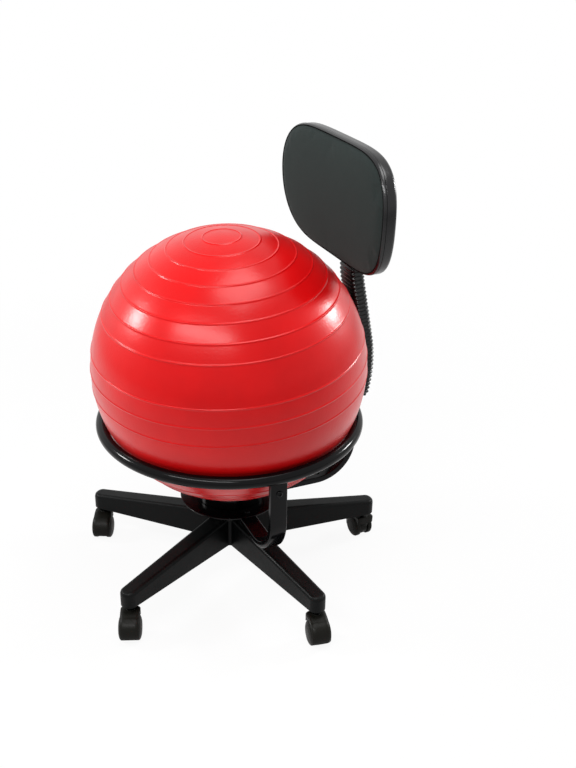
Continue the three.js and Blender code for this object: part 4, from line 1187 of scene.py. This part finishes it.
class BuildSleeve(Operator):
    """The ribbed rubber sleeve over the back bar"""
    bl_idname = "chair.build_sleeve"
    bl_label = "Sleeve"

    def execute(self, context):
        look = context.scene.chair_sleeve
        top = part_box("bar_sleeve")[1][2]
        path = back_path()
        start = length_at_height(path, SLEEVE_FOOT)
        end = length_at_height(path, top)
        ribs = round((end - start - 2 * SLEEVE_CUFF) / look.rib_pitch)
        outer = self.ribbed(look, path, start, end, ribs)
        bore_section = rounded_rectangle(
            SLEEVE_WIDTH - 2 * SLEEVE_WALL,
            SLEEVE_DEPTH - 2 * SLEEVE_WALL,
            SLEEVE_CORNER - SLEEVE_WALL,
        )
        bore = carried(bore_section, along(path, np.linspace(end, start, ribs)))
        shape = skin(np.concatenate([outer, bore]), looped=True)
        sleeve = new_object("rib_sleeve", on_axis(shape), sleeve_rubber())
        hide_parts("bar_sleeve")
        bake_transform(sleeve)
        return {"FINISHED"}

    @staticmethod
    def ribbed(look, path, start, end, ribs):
        """Rings along the path. At the cuffs the outline is drawn in by the rib depth, and between them by
        that times 1 less a power of |sin(pi s)|, where s counts ribs. The face towards the ball has less."""
        count = np.arange(ribs * RIB_STEPS + 1) / RIB_STEPS
        middle = np.linspace(start + SLEEVE_CUFF, end - SLEEVE_CUFF, len(count))
        lengths = np.r_[start, start + SLEEVE_CUFF / 2, middle, end - SLEEVE_CUFF / 2, end]
        groove = 1 - np.abs(np.sin(np.pi * count)) ** RIB_POWER
        draw = np.r_[1, 1, groove, 1, 1]
        outline = rounded_rectangle(SLEEVE_WIDTH, SLEEVE_DEPTH, SLEEVE_CORNER)
        inner = rounded_rectangle(
            SLEEVE_WIDTH - 2 * look.rib_depth,
            SLEEVE_DEPTH - 2 * look.rib_depth,
            SLEEVE_CORNER - look.rib_depth,
        )
        # how much of the rib depth each point of the outline has: less in the middle of the front
        reaches = (-outline[:, 1] / (SLEEVE_DEPTH / 2), np.abs(outline[:, 0]) / (SLEEVE_WIDTH / 2))
        front = 1
        for reach, start_share, slope_share in zip(reaches, FRONT_START_SHARES, FRONT_SLOPE_SHARES):
            front = front * np.clip(start_share + reach * slope_share, 0, 1)
        share = 1 - (1 - look.front_share) * front
        depth = (draw[:, None] * share)[..., None]
        sections = outline * (1 - depth) + inner * depth
        return carried(sections, along(path, lengths))


def seam_place(across, up):
    """Where the backrest's seam lies along Y, at a place across and up from its middle: it bows forward with
    the square of the way across, rolls back with the square of the way up, and leans forward."""
    bow = PAD_BOW * (across / PAD_HALF_WIDTH) ** 2
    roll = PAD_ROLL * (up / PAD_HALF_HEIGHT) ** 2
    return AXIS[1] + PAD_REACH - bow + roll - PAD_LEAN_SHARE * up


def pad_ring(share, inset, depth, sides=192):
    """The backrest's outline, drawn in by a share of its size and an inset and moved back from the seam by a
    depth: powers of cosine and sine, wider at the top."""
    angle = np.linspace(0, 2 * np.pi, sides, endpoint=False)
    across = np.sign(np.cos(angle)) * np.abs(np.cos(angle)) ** (2 / PAD_SIDE_POWER)
    up = np.sign(np.sin(angle)) * np.abs(np.sin(angle)) ** (2 / PAD_END_POWER)
    u = (PAD_HALF_WIDTH * share - inset) * (1 + PAD_TAPER_SHARE * up) * across
    v = (PAD_HALF_HEIGHT * share - inset) * up
    return np.column_stack([AXIS[0] + u, seam_place(u, v) + depth, PAD_HEIGHT + v])


class BuildBackrest(Operator):
    """The padded cushion, its shell, and the carriage and knob that hold it on the bar"""
    bl_idname = "chair.build_backrest"
    bl_label = "Backrest"

    def execute(self, context):
        self.build_cushion(context.scene.chair_back)
        self.build_shell()
        self.build_carriage()
        self.build_knob()
        return {"FINISHED"}

    @staticmethod
    def build_cushion(look):
        """Rings from the middle of the back out to the seam, round the shoulder and in over the crown, which
        rises with 1 less the square of the share. The sewn seam and the edging lie on the shoulder."""
        edge = SHELL_SKIN + SHELL_LIP
        swell = look.swell * SWELL_ROOM_SHARE
        front = -CUSHION_SHOULDER + swell * SHOULDER_ROOM_SHARE
        rings = [pad_ring(share, 0, CUSHION_BACK) for share in CUSHION_BACK_SHARES]
        rings += [
            pad_ring(1, edge + CUSHION_BACK_CORNER, CUSHION_BACK),
            pad_ring(1, edge, CUSHION_BACK - CUSHION_BACK_CORNER),
            pad_ring(1, edge, -GAP),
        ]
        rings += [
            pad_ring(1, CUSHION_SHOULDER * (1 - math.cos(angle)), front * math.sin(angle) - SHELL_LIP / 2)
            for angle in np.linspace(0, math.pi / 2, 6)
        ]
        rings += [
            pad_ring(share, 0, front - (CUSHION_CROWN - swell) * (1 - share ** 2))
            for share in CUSHION_FRONT_SHARES
        ]
        shape = skin(np.array(rings))
        cushion = new_object("back_cushion_cover", shape, back_fabric())
        swell_cushion(cushion, look.swell)
        settle(cushion, "back_fabric", "backrest", "back_cushion")
        seam = tube_round(
            pad_ring(1, CUSHION_SHOULDER * (1 - math.cos(SEAM_ANGLE)), front * math.sin(SEAM_ANGLE)),
            SEAM_RADIUS,
        )
        settle(new_object("cushion_seam", seam, seam_thread()), "back_fabric", "backrest", "back_cushion")
        turn = np.linspace(EDGING_START, SEAM_ANGLE - EDGING_CLEARANCE, 8)
        edging = [
            pad_ring(
                1,
                CUSHION_SHOULDER - (CUSHION_SHOULDER + rise) * math.cos(angle),
                (front - rise) * math.sin(angle) - SHELL_LIP / 2,
            )
            for rise, angles in ((EDGING_RISE, turn), (-EDGING_RISE, turn[::-1]))
            for angle in angles
        ]
        trim = new_object("cushion_edging", skin(np.array(edging), looped=True), shell_plastic())
        settle(trim, "shell_plastic", "backrest", "back_cushion")

    @staticmethod
    def build_shell():
        """Rings from the middle of the back out round the corner, along the rim, over its edge and back
        inside, and a raised seat for the carriage."""
        turn = np.linspace(0, math.pi / 2, 8)
        corner_start = SHELL_DEPTH - SHELL_CORNER
        rings = [pad_ring(share, 0, SHELL_DEPTH) for share in SHELL_SHARES]
        rings += [
            pad_ring(1, SHELL_CORNER * (1 - math.sin(angle)), corner_start + SHELL_CORNER * math.cos(angle))
            for angle in turn
        ]
        rings += [pad_ring(1, 0, depth) for depth in np.linspace(corner_start, SHELL_LIP, 4)[1:]]
        rings += [
            pad_ring(1, SHELL_SKIN / 2 * (1 - math.cos(angle)), SHELL_LIP * (1 - math.sin(angle)))
            for angle in np.linspace(0, math.pi, 6)
        ]
        inner = SHELL_CORNER - SHELL_SKIN
        rings += [
            pad_ring(1, SHELL_SKIN + inner * (1 - math.cos(angle)), corner_start + inner * math.sin(angle))
            for angle in turn
        ]
        rings += [pad_ring(share, 0, SHELL_DEPTH - SHELL_SKIN) for share in SHELL_SHARES[::-1]]
        face = AXIS[1] + PAD_REACH + SHELL_DEPTH + SHELL_SEAT
        depth = SHELL_SEAT + SHELL_SKIN / 2
        seat = moved(
            rounded_block(
                CARRIAGE_FLANGE_WIDTH, 2 * CARRIAGE_HALF_HEIGHT, depth, SHELL_SEAT_CORNER, SHELL_SEAT_EDGE),
            z_onto((0, 1, 0)),
            (AXIS[0], face - depth / 2, PAD_HEIGHT),
        )
        shell = new_object("back_shell_moulding", skin(np.array(rings)), shell_plastic())
        combined(shell, seat, "UNION")
        settle(shell, "shell_plastic", "backrest", "back_shell")

    @staticmethod
    def build_carriage():
        """A sleeve round the bar, its outline carried up outside and down inside, and a flange behind it."""
        depth = CARRIAGE_FRONT + BAR_DEPTH + 2 * SLIDE_GAP + CARRIAGE_BACK
        low, high = PAD_HEIGHT - CARRIAGE_HALF_HEIGHT, PAD_HEIGHT + CARRIAGE_HALF_HEIGHT
        turn = np.linspace(0, math.pi / 2, 5)
        insets = CARRIAGE_EDGE * (1 - np.sin(turn))
        rises = CARRIAGE_EDGE * (1 - np.cos(turn))
        levels = np.r_[low + rises, high - rises[::-1]]
        insets = np.r_[insets, insets[::-1]]
        bore = rounded_rectangle(BAR_WIDTH + 2 * SLIDE_GAP, BAR_DEPTH + 2 * SLIDE_GAP, BAR_CORNER)
        bore = bore + [0, BAR_TOP_REACH]
        outer = np.array([
            np.column_stack([
                rounded_rectangle(CARRIAGE_WIDTH - 2 * inset, depth - 2 * inset, CARRIAGE_CORNER - inset)
                + [0, CARRIAGE_FACE + depth / 2],
                np.full(len(bore), level),
            ])
            for inset, level in zip(insets, levels)
        ])
        inner = np.array([np.column_stack([bore, np.full(len(bore), level)]) for level in (high, low)])
        body = skin(np.concatenate([outer, inner]), looped=True)
        flange = moved(
            rounded_block(
                CARRIAGE_FLANGE_WIDTH, 2 * CARRIAGE_HALF_HEIGHT, CARRIAGE_FLANGE,
                CARRIAGE_FLANGE_CORNER, CARRIAGE_FLANGE_EDGE),
            z_onto((0, 1, 0)),
            (0, CARRIAGE_FACE + CARRIAGE_FLANGE / 2, PAD_HEIGHT),
        )
        carriage = new_object("slide_carriage", on_axis(body), shell_plastic())
        combined(carriage, on_axis(flange), "UNION")
        settle(carriage, "shell_plastic", "backrest", "bar_carriage")

    @staticmethod
    def build_knob():
        """A grip whose radius follows a cosine of six lobes, with a dished cap, on a round neck."""
        low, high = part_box("height_knob")
        length = high[1] - low[1]
        cap, rim, foot = (KNOB_RADIUS * share for share in KNOB_CAP_SHARES)
        profile = rounded_profile([
            (3 * POLE, 0),
            (KNOB_NECK_RADIUS, 0),
            (KNOB_NECK_RADIUS, KNOB_NECK),
            (KNOB_RADIUS, KNOB_NECK),
            (KNOB_RADIUS, length - KNOB_CAP),
            (cap, length),
            (rim, length),
            (foot, length - KNOB_DISH),
            (3 * POLE, length - KNOB_DISH_MIDDLE),
        ], KNOB_EDGE, steps=5)

        def lobed(angle, row):
            """The scale of the radius at an angle: no lobes at the neck, and whole ones at the grip."""
            outer = np.clip((profile[row, 0] - KNOB_NECK_RADIUS) / (KNOB_RADIUS - KNOB_NECK_RADIUS), 0, 1)
            return 1 + KNOB_LOBE / KNOB_RADIUS * outer * np.cos(KNOB_LOBES * angle)

        place = (AXIS[0], low[1], PAD_HEIGHT)
        shape = moved(lathe(profile, sides=144, lobes=lobed), z_onto((0, 1, 0)), place)
        settle(new_object("knob_grip", shape, shell_plastic()), "shell_plastic", "knob", "height_knob")


def swell_cushion(cushion, most):
    """Pads the cushion: a cloth of even voxels is blown up a little, and each point of its front keeps at
    most the given move. The back and the seam stay where they are."""
    remesh = cushion.modifiers.new("voxels", "REMESH")
    remesh.mode = "VOXEL"
    remesh.voxel_size = PADDING_VOXEL
    applied(cushion)
    count = len(cushion.data.vertices)
    rest = np.zeros(count * 3)
    cushion.data.vertices.foreach_get("co", rest)
    rest = rest.reshape(-1, 3)
    cloth = cushion.modifiers.new("padding", "CLOTH")
    cloth.settings.use_pressure = True
    cloth.settings.uniform_pressure_force = PADDING_PRESSURE
    cloth.settings.effector_weights.gravity = 0
    scene = bpy.context.scene
    for number in range(1, PADDING_FRAMES + 1):
        scene.frame_set(number)
    evaluated = cushion.evaluated_get(bpy.context.evaluated_depsgraph_get())
    blown = np.zeros(count * 3)
    evaluated.data.vertices.foreach_get("co", blown)
    cushion.modifiers.clear()
    scene.frame_set(1)
    move = blown.reshape(-1, 3) - rest
    size = np.linalg.norm(move, axis=1)
    seam = seam_place(rest[:, 0] - AXIS[0], rest[:, 2] - PAD_HEIGHT)
    before = np.clip((seam - rest[:, 1]) / CUSHION_SHOULDER - SEAM_HOLD_SHARE, 0, 1)
    kept = np.minimum(size, most) / np.maximum(size, 1e-9)
    placed = rest + move * (kept * before)[:, None]
    cushion.data.vertices.foreach_set("co", placed.ravel())
    finer = cushion.modifiers.new("finer", "SUBSURF")
    finer.levels = finer.render_levels = 1
    applied(cushion)


class BuildBase(Operator):
    """The five-star base"""
    bl_idname = "chair.build_base"
    bl_label = "Base"

    def execute(self, context):
        star = new_object("star_moulding", self.hub(), base_nylon())
        for index in range(LEG_COUNT):
            combined(star, on_axis(self.leg(), leg_angle(index)), "UNION")
        for index in range(LEG_COUNT):
            combined(star, on_axis(merged(*self.cells()), leg_angle(index)), "DIFFERENCE")
            combined(star, on_axis(self.socket_boss(), leg_angle(index)), "UNION")
        hole = lathe([
            (PEDESTAL_RADIUS + GAP, HUB_BOTTOM - CUT_OVERRUN),
            (PEDESTAL_RADIUS + GAP, HUB_TOP + CUT_OVERRUN),
        ], sides=96)
        combined(star, on_axis(hole), "DIFFERENCE")
        even = star.modifiers.new("even_shading", "WEIGHTED_NORMAL")
        even.keep_sharp = True
        settle(star, "base_nylon", "base", "base_star")
        return {"FINISHED"}

    @staticmethod
    def hub():
        """The round middle, from under the legs to their tops."""
        return on_axis(lathe(rounded_profile([
            (10 * POLE, HUB_BOTTOM),
            (HUB_RADIUS, HUB_BOTTOM),
            (HUB_RADIUS, HUB_TOP),
            (10 * POLE, HUB_TOP),
        ], HUB_EDGE), sides=96))

    @staticmethod
    def section(reach, half_width, bottom, top, corner, steps=8):
        """The outline of a leg across its length at a reach towards -Y: flat below, round upper corners."""
        angle = np.linspace(0, np.pi / 2, steps + 1)
        right = np.column_stack([
            half_width - corner + corner * np.cos(angle),
            top - corner + corner * np.sin(angle),
        ])
        left = right[::-1] * [-1, 1]
        outline = np.vstack([[[-half_width, bottom], [half_width, bottom]], right, left])
        return np.column_stack([outline[:, 0], np.full(len(outline), -reach), outline[:, 1]])

    @classmethod
    def leg(cls):
        """A leg from the hub to its round end, where the half width falls with a power of the cosine and the
        top with a power of 1 less the cosine."""
        sections = [cls.section(
            reach,
            leg_value(reach, LEG_HUB_HALF_WIDTH, LEG_END_HALF_WIDTH),
            leg_value(reach, HUB_BOTTOM, LEG_END_BOTTOM),
            leg_value(reach, HUB_TOP, LEG_END_TOP),
            LEG_CORNER,
        ) for reach in np.linspace(LEG_START, STEM_CIRCLE, LEG_ROWS)]
        for angle in np.linspace(0, LEG_TIP_ANGLE, LEG_TIP_ROWS)[1:]:
            half_width = LEG_END_HALF_WIDTH * math.cos(angle) ** LEG_TIP_WIDTH_POWER
            sections.append(cls.section(
                STEM_CIRCLE + LEG_END_HALF_WIDTH * math.sin(angle),
                half_width,
                LEG_END_BOTTOM,
                LEG_END_TOP - LEG_CORNER * (1 - math.cos(angle)) ** LEG_TIP_DROP_POWER,
                min(LEG_CORNER, half_width * LEG_TIP_CORNER_SHARE),
            ))
        return skin(np.array(sections))

    @classmethod
    def cells(cls):
        """The hollows that open under a leg, with ribs between them."""
        cell_end = STEM_CIRCLE - SOCKET_RADIUS - LEG_WALL
        length = (cell_end - LEG_CELL_START - (LEG_CELLS - 1) * LEG_RIB) / LEG_CELLS
        starts = LEG_CELL_START + (length + LEG_RIB) * np.arange(LEG_CELLS)
        return [
            skin(np.array([
                cls.section(
                    reach,
                    leg_value(reach, LEG_HUB_HALF_WIDTH, LEG_END_HALF_WIDTH) - LEG_WALL,
                    HUB_BOTTOM - CUT_OVERRUN,
                    leg_value(reach, HUB_TOP, LEG_END_TOP) - LEG_WALL,
                    LEG_CORNER - LEG_WALL,
                )
                for reach in (start, start + length)
            ]))
            for start in starts
        ]

    @staticmethod
    def socket_boss():
        """The boss under a leg's end that holds a caster's stem."""
        profile = [
            (STEM_RADIUS + GAP, SOCKET_BOTTOM),
            (SOCKET_FOOT, SOCKET_BOTTOM),
            (SOCKET_RADIUS, LEG_END_BOTTOM),
            (SOCKET_RADIUS, LEG_END_BOTTOM + SOCKET_SINK),
            (STEM_RADIUS + GAP, LEG_END_BOTTOM + SOCKET_SINK),
        ]
        return moved(lathe(profile, sides=48), None, (0, -STEM_CIRCLE, 0))


def leg_value(reach, at_hub, at_end):
    """A size of a leg that changes evenly from the axis to the stem."""
    return at_hub + (at_end - at_hub) * reach / STEM_CIRCLE


def leg_angle(index):
    """The turn of a leg or its caster from straight towards -Y, the first of them at the back."""
    return math.pi + BASE_TURN + index * 2 * math.pi / LEG_COUNT


class BuildCasters(Operator):
    """The five twin-wheel casters"""
    bl_idname = "chair.build_casters"
    bl_label = "Casters"

    def execute(self, context):
        nylon, paint = caster_nylon(), black_paint()
        hood, stem, wheel = self.hood(), self.stem(), self.wheel()
        shapes = {
            "hood": (hood, nylon, "caster_nylon", "{}_caster"),
            "stem": (stem, paint, "black_paint", "{}_caster"),
            "wheel_a": (wheel, nylon, "caster_nylon", "{}_wheel_a"),
            "wheel_b": (moved(wheel, np.diag([-1, 1, 1])), nylon, "caster_nylon", "{}_wheel_b"),
        }
        for index, name in enumerate(CASTERS):
            place = about_z(leg_angle(index)) @ np.array([0, -STEM_CIRCLE, 0]) + np.array([*AXIS, 0])
            for part, (shape, material, slot, body) in shapes.items():
                turned = moved(shape, about_z(CASTER_TURNS[index]), place)
                piece = new_object(f"{name}_{part}_cover", outward(*turned), material)
                settle(piece, slot, body.format(name), f"{name}_caster_{part}")
        return {"FINISHED"}

    @staticmethod
    def hood():
        """The cover: a rounded band across both wheels, carried round the axle, with the boss for the stem
        and the fin between the wheels. It drops with a power of the way across to its sides, and towards
        the stem it rises to the flat top."""
        across = np.linspace(-1, 1, HOOD_COLUMNS)
        drop = HOOD_SIDE_DROP * np.abs(across) ** HOOD_SIDE_POWER
        angle = np.linspace(hood_start(), HOOD_END, HOOD_ROWS)[:, None]
        outer = crown_reach(angle) - drop[None, :]
        inner = np.broadcast_to(HOOD_INNER - drop[None, ::-1] * HOOD_INNER_DROP_SHARE, outer.shape)
        reach = np.concatenate([outer, inner], axis=1)
        side = np.r_[across * HOOD_HALF_WIDTH, across[::-1] * (HOOD_HALF_WIDTH - HOOD_LIP)]
        cover = skin(np.stack([
            np.broadcast_to(side, reach.shape),
            -CASTER_TRAIL + reach * np.cos(angle),
            WHEEL_RADIUS + reach * np.sin(angle),
        ], -1))
        fin = lathe(rounded_profile([
            (5 * POLE, -FIN_HALF_WIDTH),
            (FIN_RADIUS, -FIN_HALF_WIDTH),
            (FIN_RADIUS, FIN_HALF_WIDTH),
            (5 * POLE, FIN_HALF_WIDTH),
        ], FIN_EDGE), sides=64)
        boss = lathe(rounded_profile([
            (5 * POLE, HOOD_TOP - BOSS_DEPTH),
            (BOSS_RADIUS, HOOD_TOP - BOSS_DEPTH),
            (BOSS_RADIUS, HOOD_TOP),
            (5 * POLE, HOOD_TOP),
        ], BOSS_EDGE), sides=48)
        return merged(cover, on_axle(fin), hood_web(), boss)

    @staticmethod
    def stem():
        """The pin from inside the boss up into the leg, with a collar between the two."""
        collar_low, collar_high = HOOD_TOP + GAP, SOCKET_BOTTOM - GAP
        return lathe(rounded_profile([
            (3 * POLE, HOOD_TOP - STEM_SINK),
            (STEM_RADIUS, HOOD_TOP - STEM_SINK),
            (STEM_RADIUS, collar_low),
            (STEM_COLLAR_RADIUS, collar_low),
            (STEM_COLLAR_RADIUS, collar_high),
            (STEM_RADIUS, collar_high),
            (STEM_RADIUS, STEM_TOP),
            (3 * POLE, STEM_TOP),
        ], STEM_EDGE), sides=40)

    @staticmethod
    def wheel():
        """A wheel on the +X side: tread, bulged outer face with a shallow ring, and a hub cap."""
        shoulders = [
            (WHEEL_RADIUS * share, WHEEL_TREAD_END + rise)
            for share, rise in zip(WHEEL_SHOULDER_SHARES, WHEEL_SHOULDER_RISES)
        ]
        groove = [
            (WHEEL_RADIUS * share, WHEEL_OUTER - drop)
            for share, drop in zip(WHEEL_GROOVE_SHARES, WHEEL_GROOVE_DROPS)
        ]
        return on_axle(lathe(rounded_profile([
            (3 * POLE, AXLE_HALF_LENGTH + GAP),
            (WHEEL_BORE, AXLE_HALF_LENGTH + GAP),
            (WHEEL_BORE, WHEEL_INNER),
            (WHEEL_RADIUS, WHEEL_INNER),
            (WHEEL_RADIUS, WHEEL_TREAD_END),
            *shoulders,
            *groove,
            (3 * POLE, WHEEL_OUTER),
        ], WHEEL_EDGE), sides=72))


def on_axle(shape):
    """A shape drawn about +Z, turned onto the axle of a caster whose stem is on the origin's axis."""
    return moved(shape, z_onto((1, 0, 0)), (0, -CASTER_TRAIL, WHEEL_RADIUS))


def hood_start():
    """The angle at which the hood's front ends, in front of the stem."""
    return math.atan2(HOOD_TOP - CROWN_DEPTH - WHEEL_RADIUS, CASTER_TRAIL + BOSS_RADIUS)


def crown_reach(angle):
    """How far the hood reaches from the axle at an angle: the round of the hood, or past it, in front, the
    nearest of three planes: front, flat top and slope. A high power mean rounds the corners between them."""
    top = HOOD_TOP - WHEEL_RADIUS
    flat_end = np.array([CASTER_TRAIL - CROWN_BACK, top])
    foot = np.array([-CROWN_FOOT, math.sqrt(HOOD_OUTER ** 2 - CROWN_FOOT ** 2)])
    along_slope = foot - flat_end
    normal = np.array([along_slope[1], -along_slope[0]]) / np.linalg.norm(along_slope)
    facing = [
        (np.cos(angle), CASTER_TRAIL + BOSS_RADIUS),
        (np.sin(angle), top),
        (normal[0] * np.cos(angle) + normal[1] * np.sin(angle), normal @ flat_end),
    ]
    closeness = sum(np.clip(towards / distance, 0, None) ** CROWN_POWER for towards, distance in facing)
    crown = np.maximum(closeness, 1e-60) ** (-1 / CROWN_POWER)
    crown = np.where(angle < CROWN_END, crown, HOOD_OUTER)
    return np.maximum(crown, HOOD_OUTER)


def hood_web():
    """The part of the fin that joins the cover: a sector between the fin's rim and the cover."""
    angle = np.linspace(hood_start(), HOOD_END, WEB_ROWS)[:, None]
    band = np.array([
        (-FIN_HALF_WIDTH, FIN_RADIUS - WEB_OVERLAP),
        (FIN_HALF_WIDTH, FIN_RADIUS - WEB_OVERLAP),
        (FIN_HALF_WIDTH, HOOD_INNER + WEB_SINK),
        (-FIN_HALF_WIDTH, HOOD_INNER + WEB_SINK),
    ])
    rings = np.stack([
        np.broadcast_to(band[:, 0], (len(angle), len(band))),
        -CASTER_TRAIL + band[:, 1] * np.cos(angle),
        WHEEL_RADIUS + band[:, 1] * np.sin(angle),
    ], -1)
    return skin(rings)


class DressInnards(Operator):
    """Finishes of the pieces inside the hub, the backrest and the casters"""
    bl_idname = "chair.dress_innards"
    bl_label = "Inner pieces"

    def execute(self, context):
        finishes = {
            black_paint(): ["pedestal_tube"],
            bush_plastic(): ["upper_bush", "lower_bush", "bearing_cage"],
            bright_steel(): [
                "lower_race", "upper_race", "swivel_spindle", "retaining_clip", "knob_stud",
                *[f"{name}_caster_axle" for name in CASTERS],
            ],
            plywood(): ["back_board"],
        }
        for material, names in finishes.items():
            for name in names:
                dress(name, material)
        return {"FINISHED"}


class BuildStudio(Operator):
    """The floor, the lamps, the surroundings and the camera"""
    bl_idname = "chair.build_studio"
    bl_label = "Studio"

    def execute(self, context):
        look = context.scene.chair_studio
        scene = context.scene
        scene.view_settings.view_transform = "Standard"
        self.build_camera(scene)
        self.build_surroundings(scene, look)
        self.build_floor()
        for name, (towards, distance, size) in LAMPS.items():
            self.lamp(f"{name}_lamp", getattr(look, f"{name}_power"), size, towards, distance)
        return {"FINISHED"}

    @staticmethod
    def build_camera(scene):
        """The camera stands south of the ball's axis, looks north along its yaw and down its pitch, and
        rolls. Its place and its directions are then turned about the axis."""
        forward = np.array([
            math.sin(CAMERA_YAW) * math.cos(CAMERA_PITCH),
            math.cos(CAMERA_YAW) * math.cos(CAMERA_PITCH),
            -math.sin(CAMERA_PITCH),
        ])
        level = np.cross(forward, (0, 0, 1))
        level /= np.linalg.norm(level)
        upright = np.cross(level, forward)
        c, s = math.cos(CAMERA_ROLL), math.sin(CAMERA_ROLL)
        turn = about_z(CAMERA_TURN)
        sideways = turn @ (c * level + s * upright)
        upward = turn @ (c * upright - s * level)
        place = turn @ np.array([0, -CAMERA_DISTANCE, CAMERA_HEIGHT]) + np.array([*AXIS, 0])
        data = bpy.data.cameras.new("photo_camera")
        data.sensor_width = SENSOR
        data.sensor_fit = "AUTO"
        data.lens = SENSOR * FOCAL_PIXELS / IMAGE_LONG_SIDE
        camera = bpy.data.objects.new("photo_camera", data)
        scene.collection.objects.link(camera)
        matrix = np.eye(4)
        matrix[:3, :3] = np.column_stack([sideways, upward, -(turn @ forward)])
        matrix[:3, 3] = place
        camera.matrix_world = Matrix(matrix.tolist())
        scene.camera = camera

    @staticmethod
    def seen(tree, mirror_share=1.0):
        """1 for a ray from the camera or clear glass, a share for one from a glossy surface, and 0 for the
        light on a surface."""
        path = add_node(tree, "ShaderNodeLightPath")
        mirrored = worked_out(tree, "MULTIPLY", path.outputs["Is Glossy Ray"], mirror_share)
        either = worked_out(tree, "MAXIMUM", path.outputs["Is Camera Ray"], mirrored)
        return worked_out(tree, "MAXIMUM", either, path.outputs["Is Transmission Ray"])

    @classmethod
    def build_surroundings(cls, scene, look):
        """A white world, bright for what the camera sees and glossy pieces mirror, and dim as a light."""
        world = bpy.data.worlds.new("white_room")
        scene.world = world
        world.use_nodes = True
        tree = world.node_tree
        background = tree.nodes["Background"]
        background.inputs["Color"].default_value = (1, 1, 1, 1)
        strength = add_node(tree, "ShaderNodeMapRange", {
            "Value": cls.seen(tree), "To Min": look.world_strength, "To Max": 1.0,
        })
        tree.links.new(strength.outputs["Result"], background.inputs["Strength"])

    @classmethod
    def build_floor(cls):
        """A wide pale floor. What the camera sees of it is mostly plain white, under a soft shadow."""
        corners = [(across * FLOOR_HALF_SIZE, up * FLOOR_HALF_SIZE, 0) for across, up in (
            (-1, -1), (1, -1), (1, 1), (-1, 1))]
        mesh = bpy.data.meshes.new("floor")
        mesh.from_pydata(corners, [], [(0, 1, 2, 3)])
        floor = bpy.data.objects.new("floor", mesh)
        bpy.context.scene.collection.objects.link(floor)
        material = bpy.data.materials.new("pale_floor")
        material.use_nodes = True
        tree = material.node_tree
        tree.nodes.remove(tree.nodes["Principled BSDF"])
        matt = add_node(tree, "ShaderNodeBsdfDiffuse", {"Color": (FLOOR_PALE, FLOOR_PALE, FLOOR_PALE, 1)})
        white = add_node(tree, "ShaderNodeEmission", {"Color": (1, 1, 1, 1), "Strength": 1.0})
        place = add_node(tree, "ShaderNodeTexCoord").outputs["Object"]
        reach = add_node(tree, "ShaderNodeVectorMath", {0: place}, operation="LENGTH").outputs["Value"]
        plain = add_node(tree, "ShaderNodeMapRange", {
            "Value": reach, "From Min": SHADOW_REACHES[0], "From Max": SHADOW_REACHES[1],
            "To Min": FLOOR_WHITE_SHARE, "To Max": 1.0,
        }, interpolation_type="SMOOTHSTEP").outputs["Result"]
        share = worked_out(tree, "MULTIPLY", cls.seen(tree, FLOOR_MIRROR_SHARE), plain)
        mix = add_node(tree, "ShaderNodeMixShader", {0: share, 1: matt.outputs[0], 2: white.outputs[0]})
        tree.links.new(mix.outputs[0], tree.nodes["Material Output"].inputs["Surface"])
        mesh.materials.append(material)

    @staticmethod
    def lamp(name, power, size, towards, distance):
        """A soft rectangular lamp, level across, at a distance from the middle of the ball, which it
        points at."""
        data = bpy.data.lights.new(name, "AREA")
        data.shape = "RECTANGLE"
        data.size, data.size_y = size
        data.energy = power
        lamp = bpy.data.objects.new(name, data)
        bpy.context.scene.collection.objects.link(lamp)
        facing = np.array(towards) / np.linalg.norm(towards)
        level = np.array([-facing[1], facing[0], 0]) / math.hypot(facing[0], facing[1])
        matrix = np.eye(4)
        matrix[:3, :3] = np.column_stack([level, np.cross(facing, level), facing])
        matrix[:3, 3] = BALL_CENTRE + distance * facing
        lamp.matrix_world = Matrix(matrix.tolist())


class ChairPanel(Panel):
    """Buttons that build the chair, and the sizes and colours of its pieces"""
    bl_idname = "VIEW3D_PT_chair"
    bl_label = "Balance ball chair"
    bl_space_type = "VIEW_3D"
    bl_region_type = "UI"
    bl_category = "Chair"

    def draw(self, context):
        for operator in OPERATORS:
            self.layout.operator(operator.bl_idname)
        for name, group in LOOKS.items():
            box = self.layout.box()
            for key in group.__annotations__:
                box.prop(getattr(context.scene, name), key)


OPERATORS = (
    BuildStudio,
    BuildBall,
    BuildFrame,
    BuildFasteners,
    BuildSleeve,
    BuildBackrest,
    BuildBase,
    BuildCasters,
    DressInnards,
)
LOOKS = {
    "chair_ball": BallLook,
    "chair_frame": FrameLook,
    "chair_sleeve": SleeveLook,
    "chair_back": BackLook,
    "chair_base": BaseLook,
    "chair_studio": StudioLook,
}


def register():
    for group in LOOKS.values():
        bpy.utils.register_class(group)
    for name, group in LOOKS.items():
        setattr(bpy.types.Scene, name, PointerProperty(type=group))
    for operator in OPERATORS:
        bpy.utils.register_class(operator)
    bpy.utils.register_class(ChairPanel)


def unregister():
    bpy.utils.unregister_class(ChairPanel)
    for operator in reversed(OPERATORS):
        bpy.utils.unregister_class(operator)
    for name, group in LOOKS.items():
        delattr(bpy.types.Scene, name)
        bpy.utils.unregister_class(group)


def main():
    register()
    bpy.ops.chair.build_studio()
    bpy.ops.chair.build_ball()
    bpy.ops.chair.build_frame()
    bpy.ops.chair.build_fasteners()
    bpy.ops.chair.build_sleeve()
    bpy.ops.chair.build_backrest()
    bpy.ops.chair.build_base()
    bpy.ops.chair.build_casters()
    bpy.ops.chair.dress_innards()


if __name__ == "__main__":
    main()
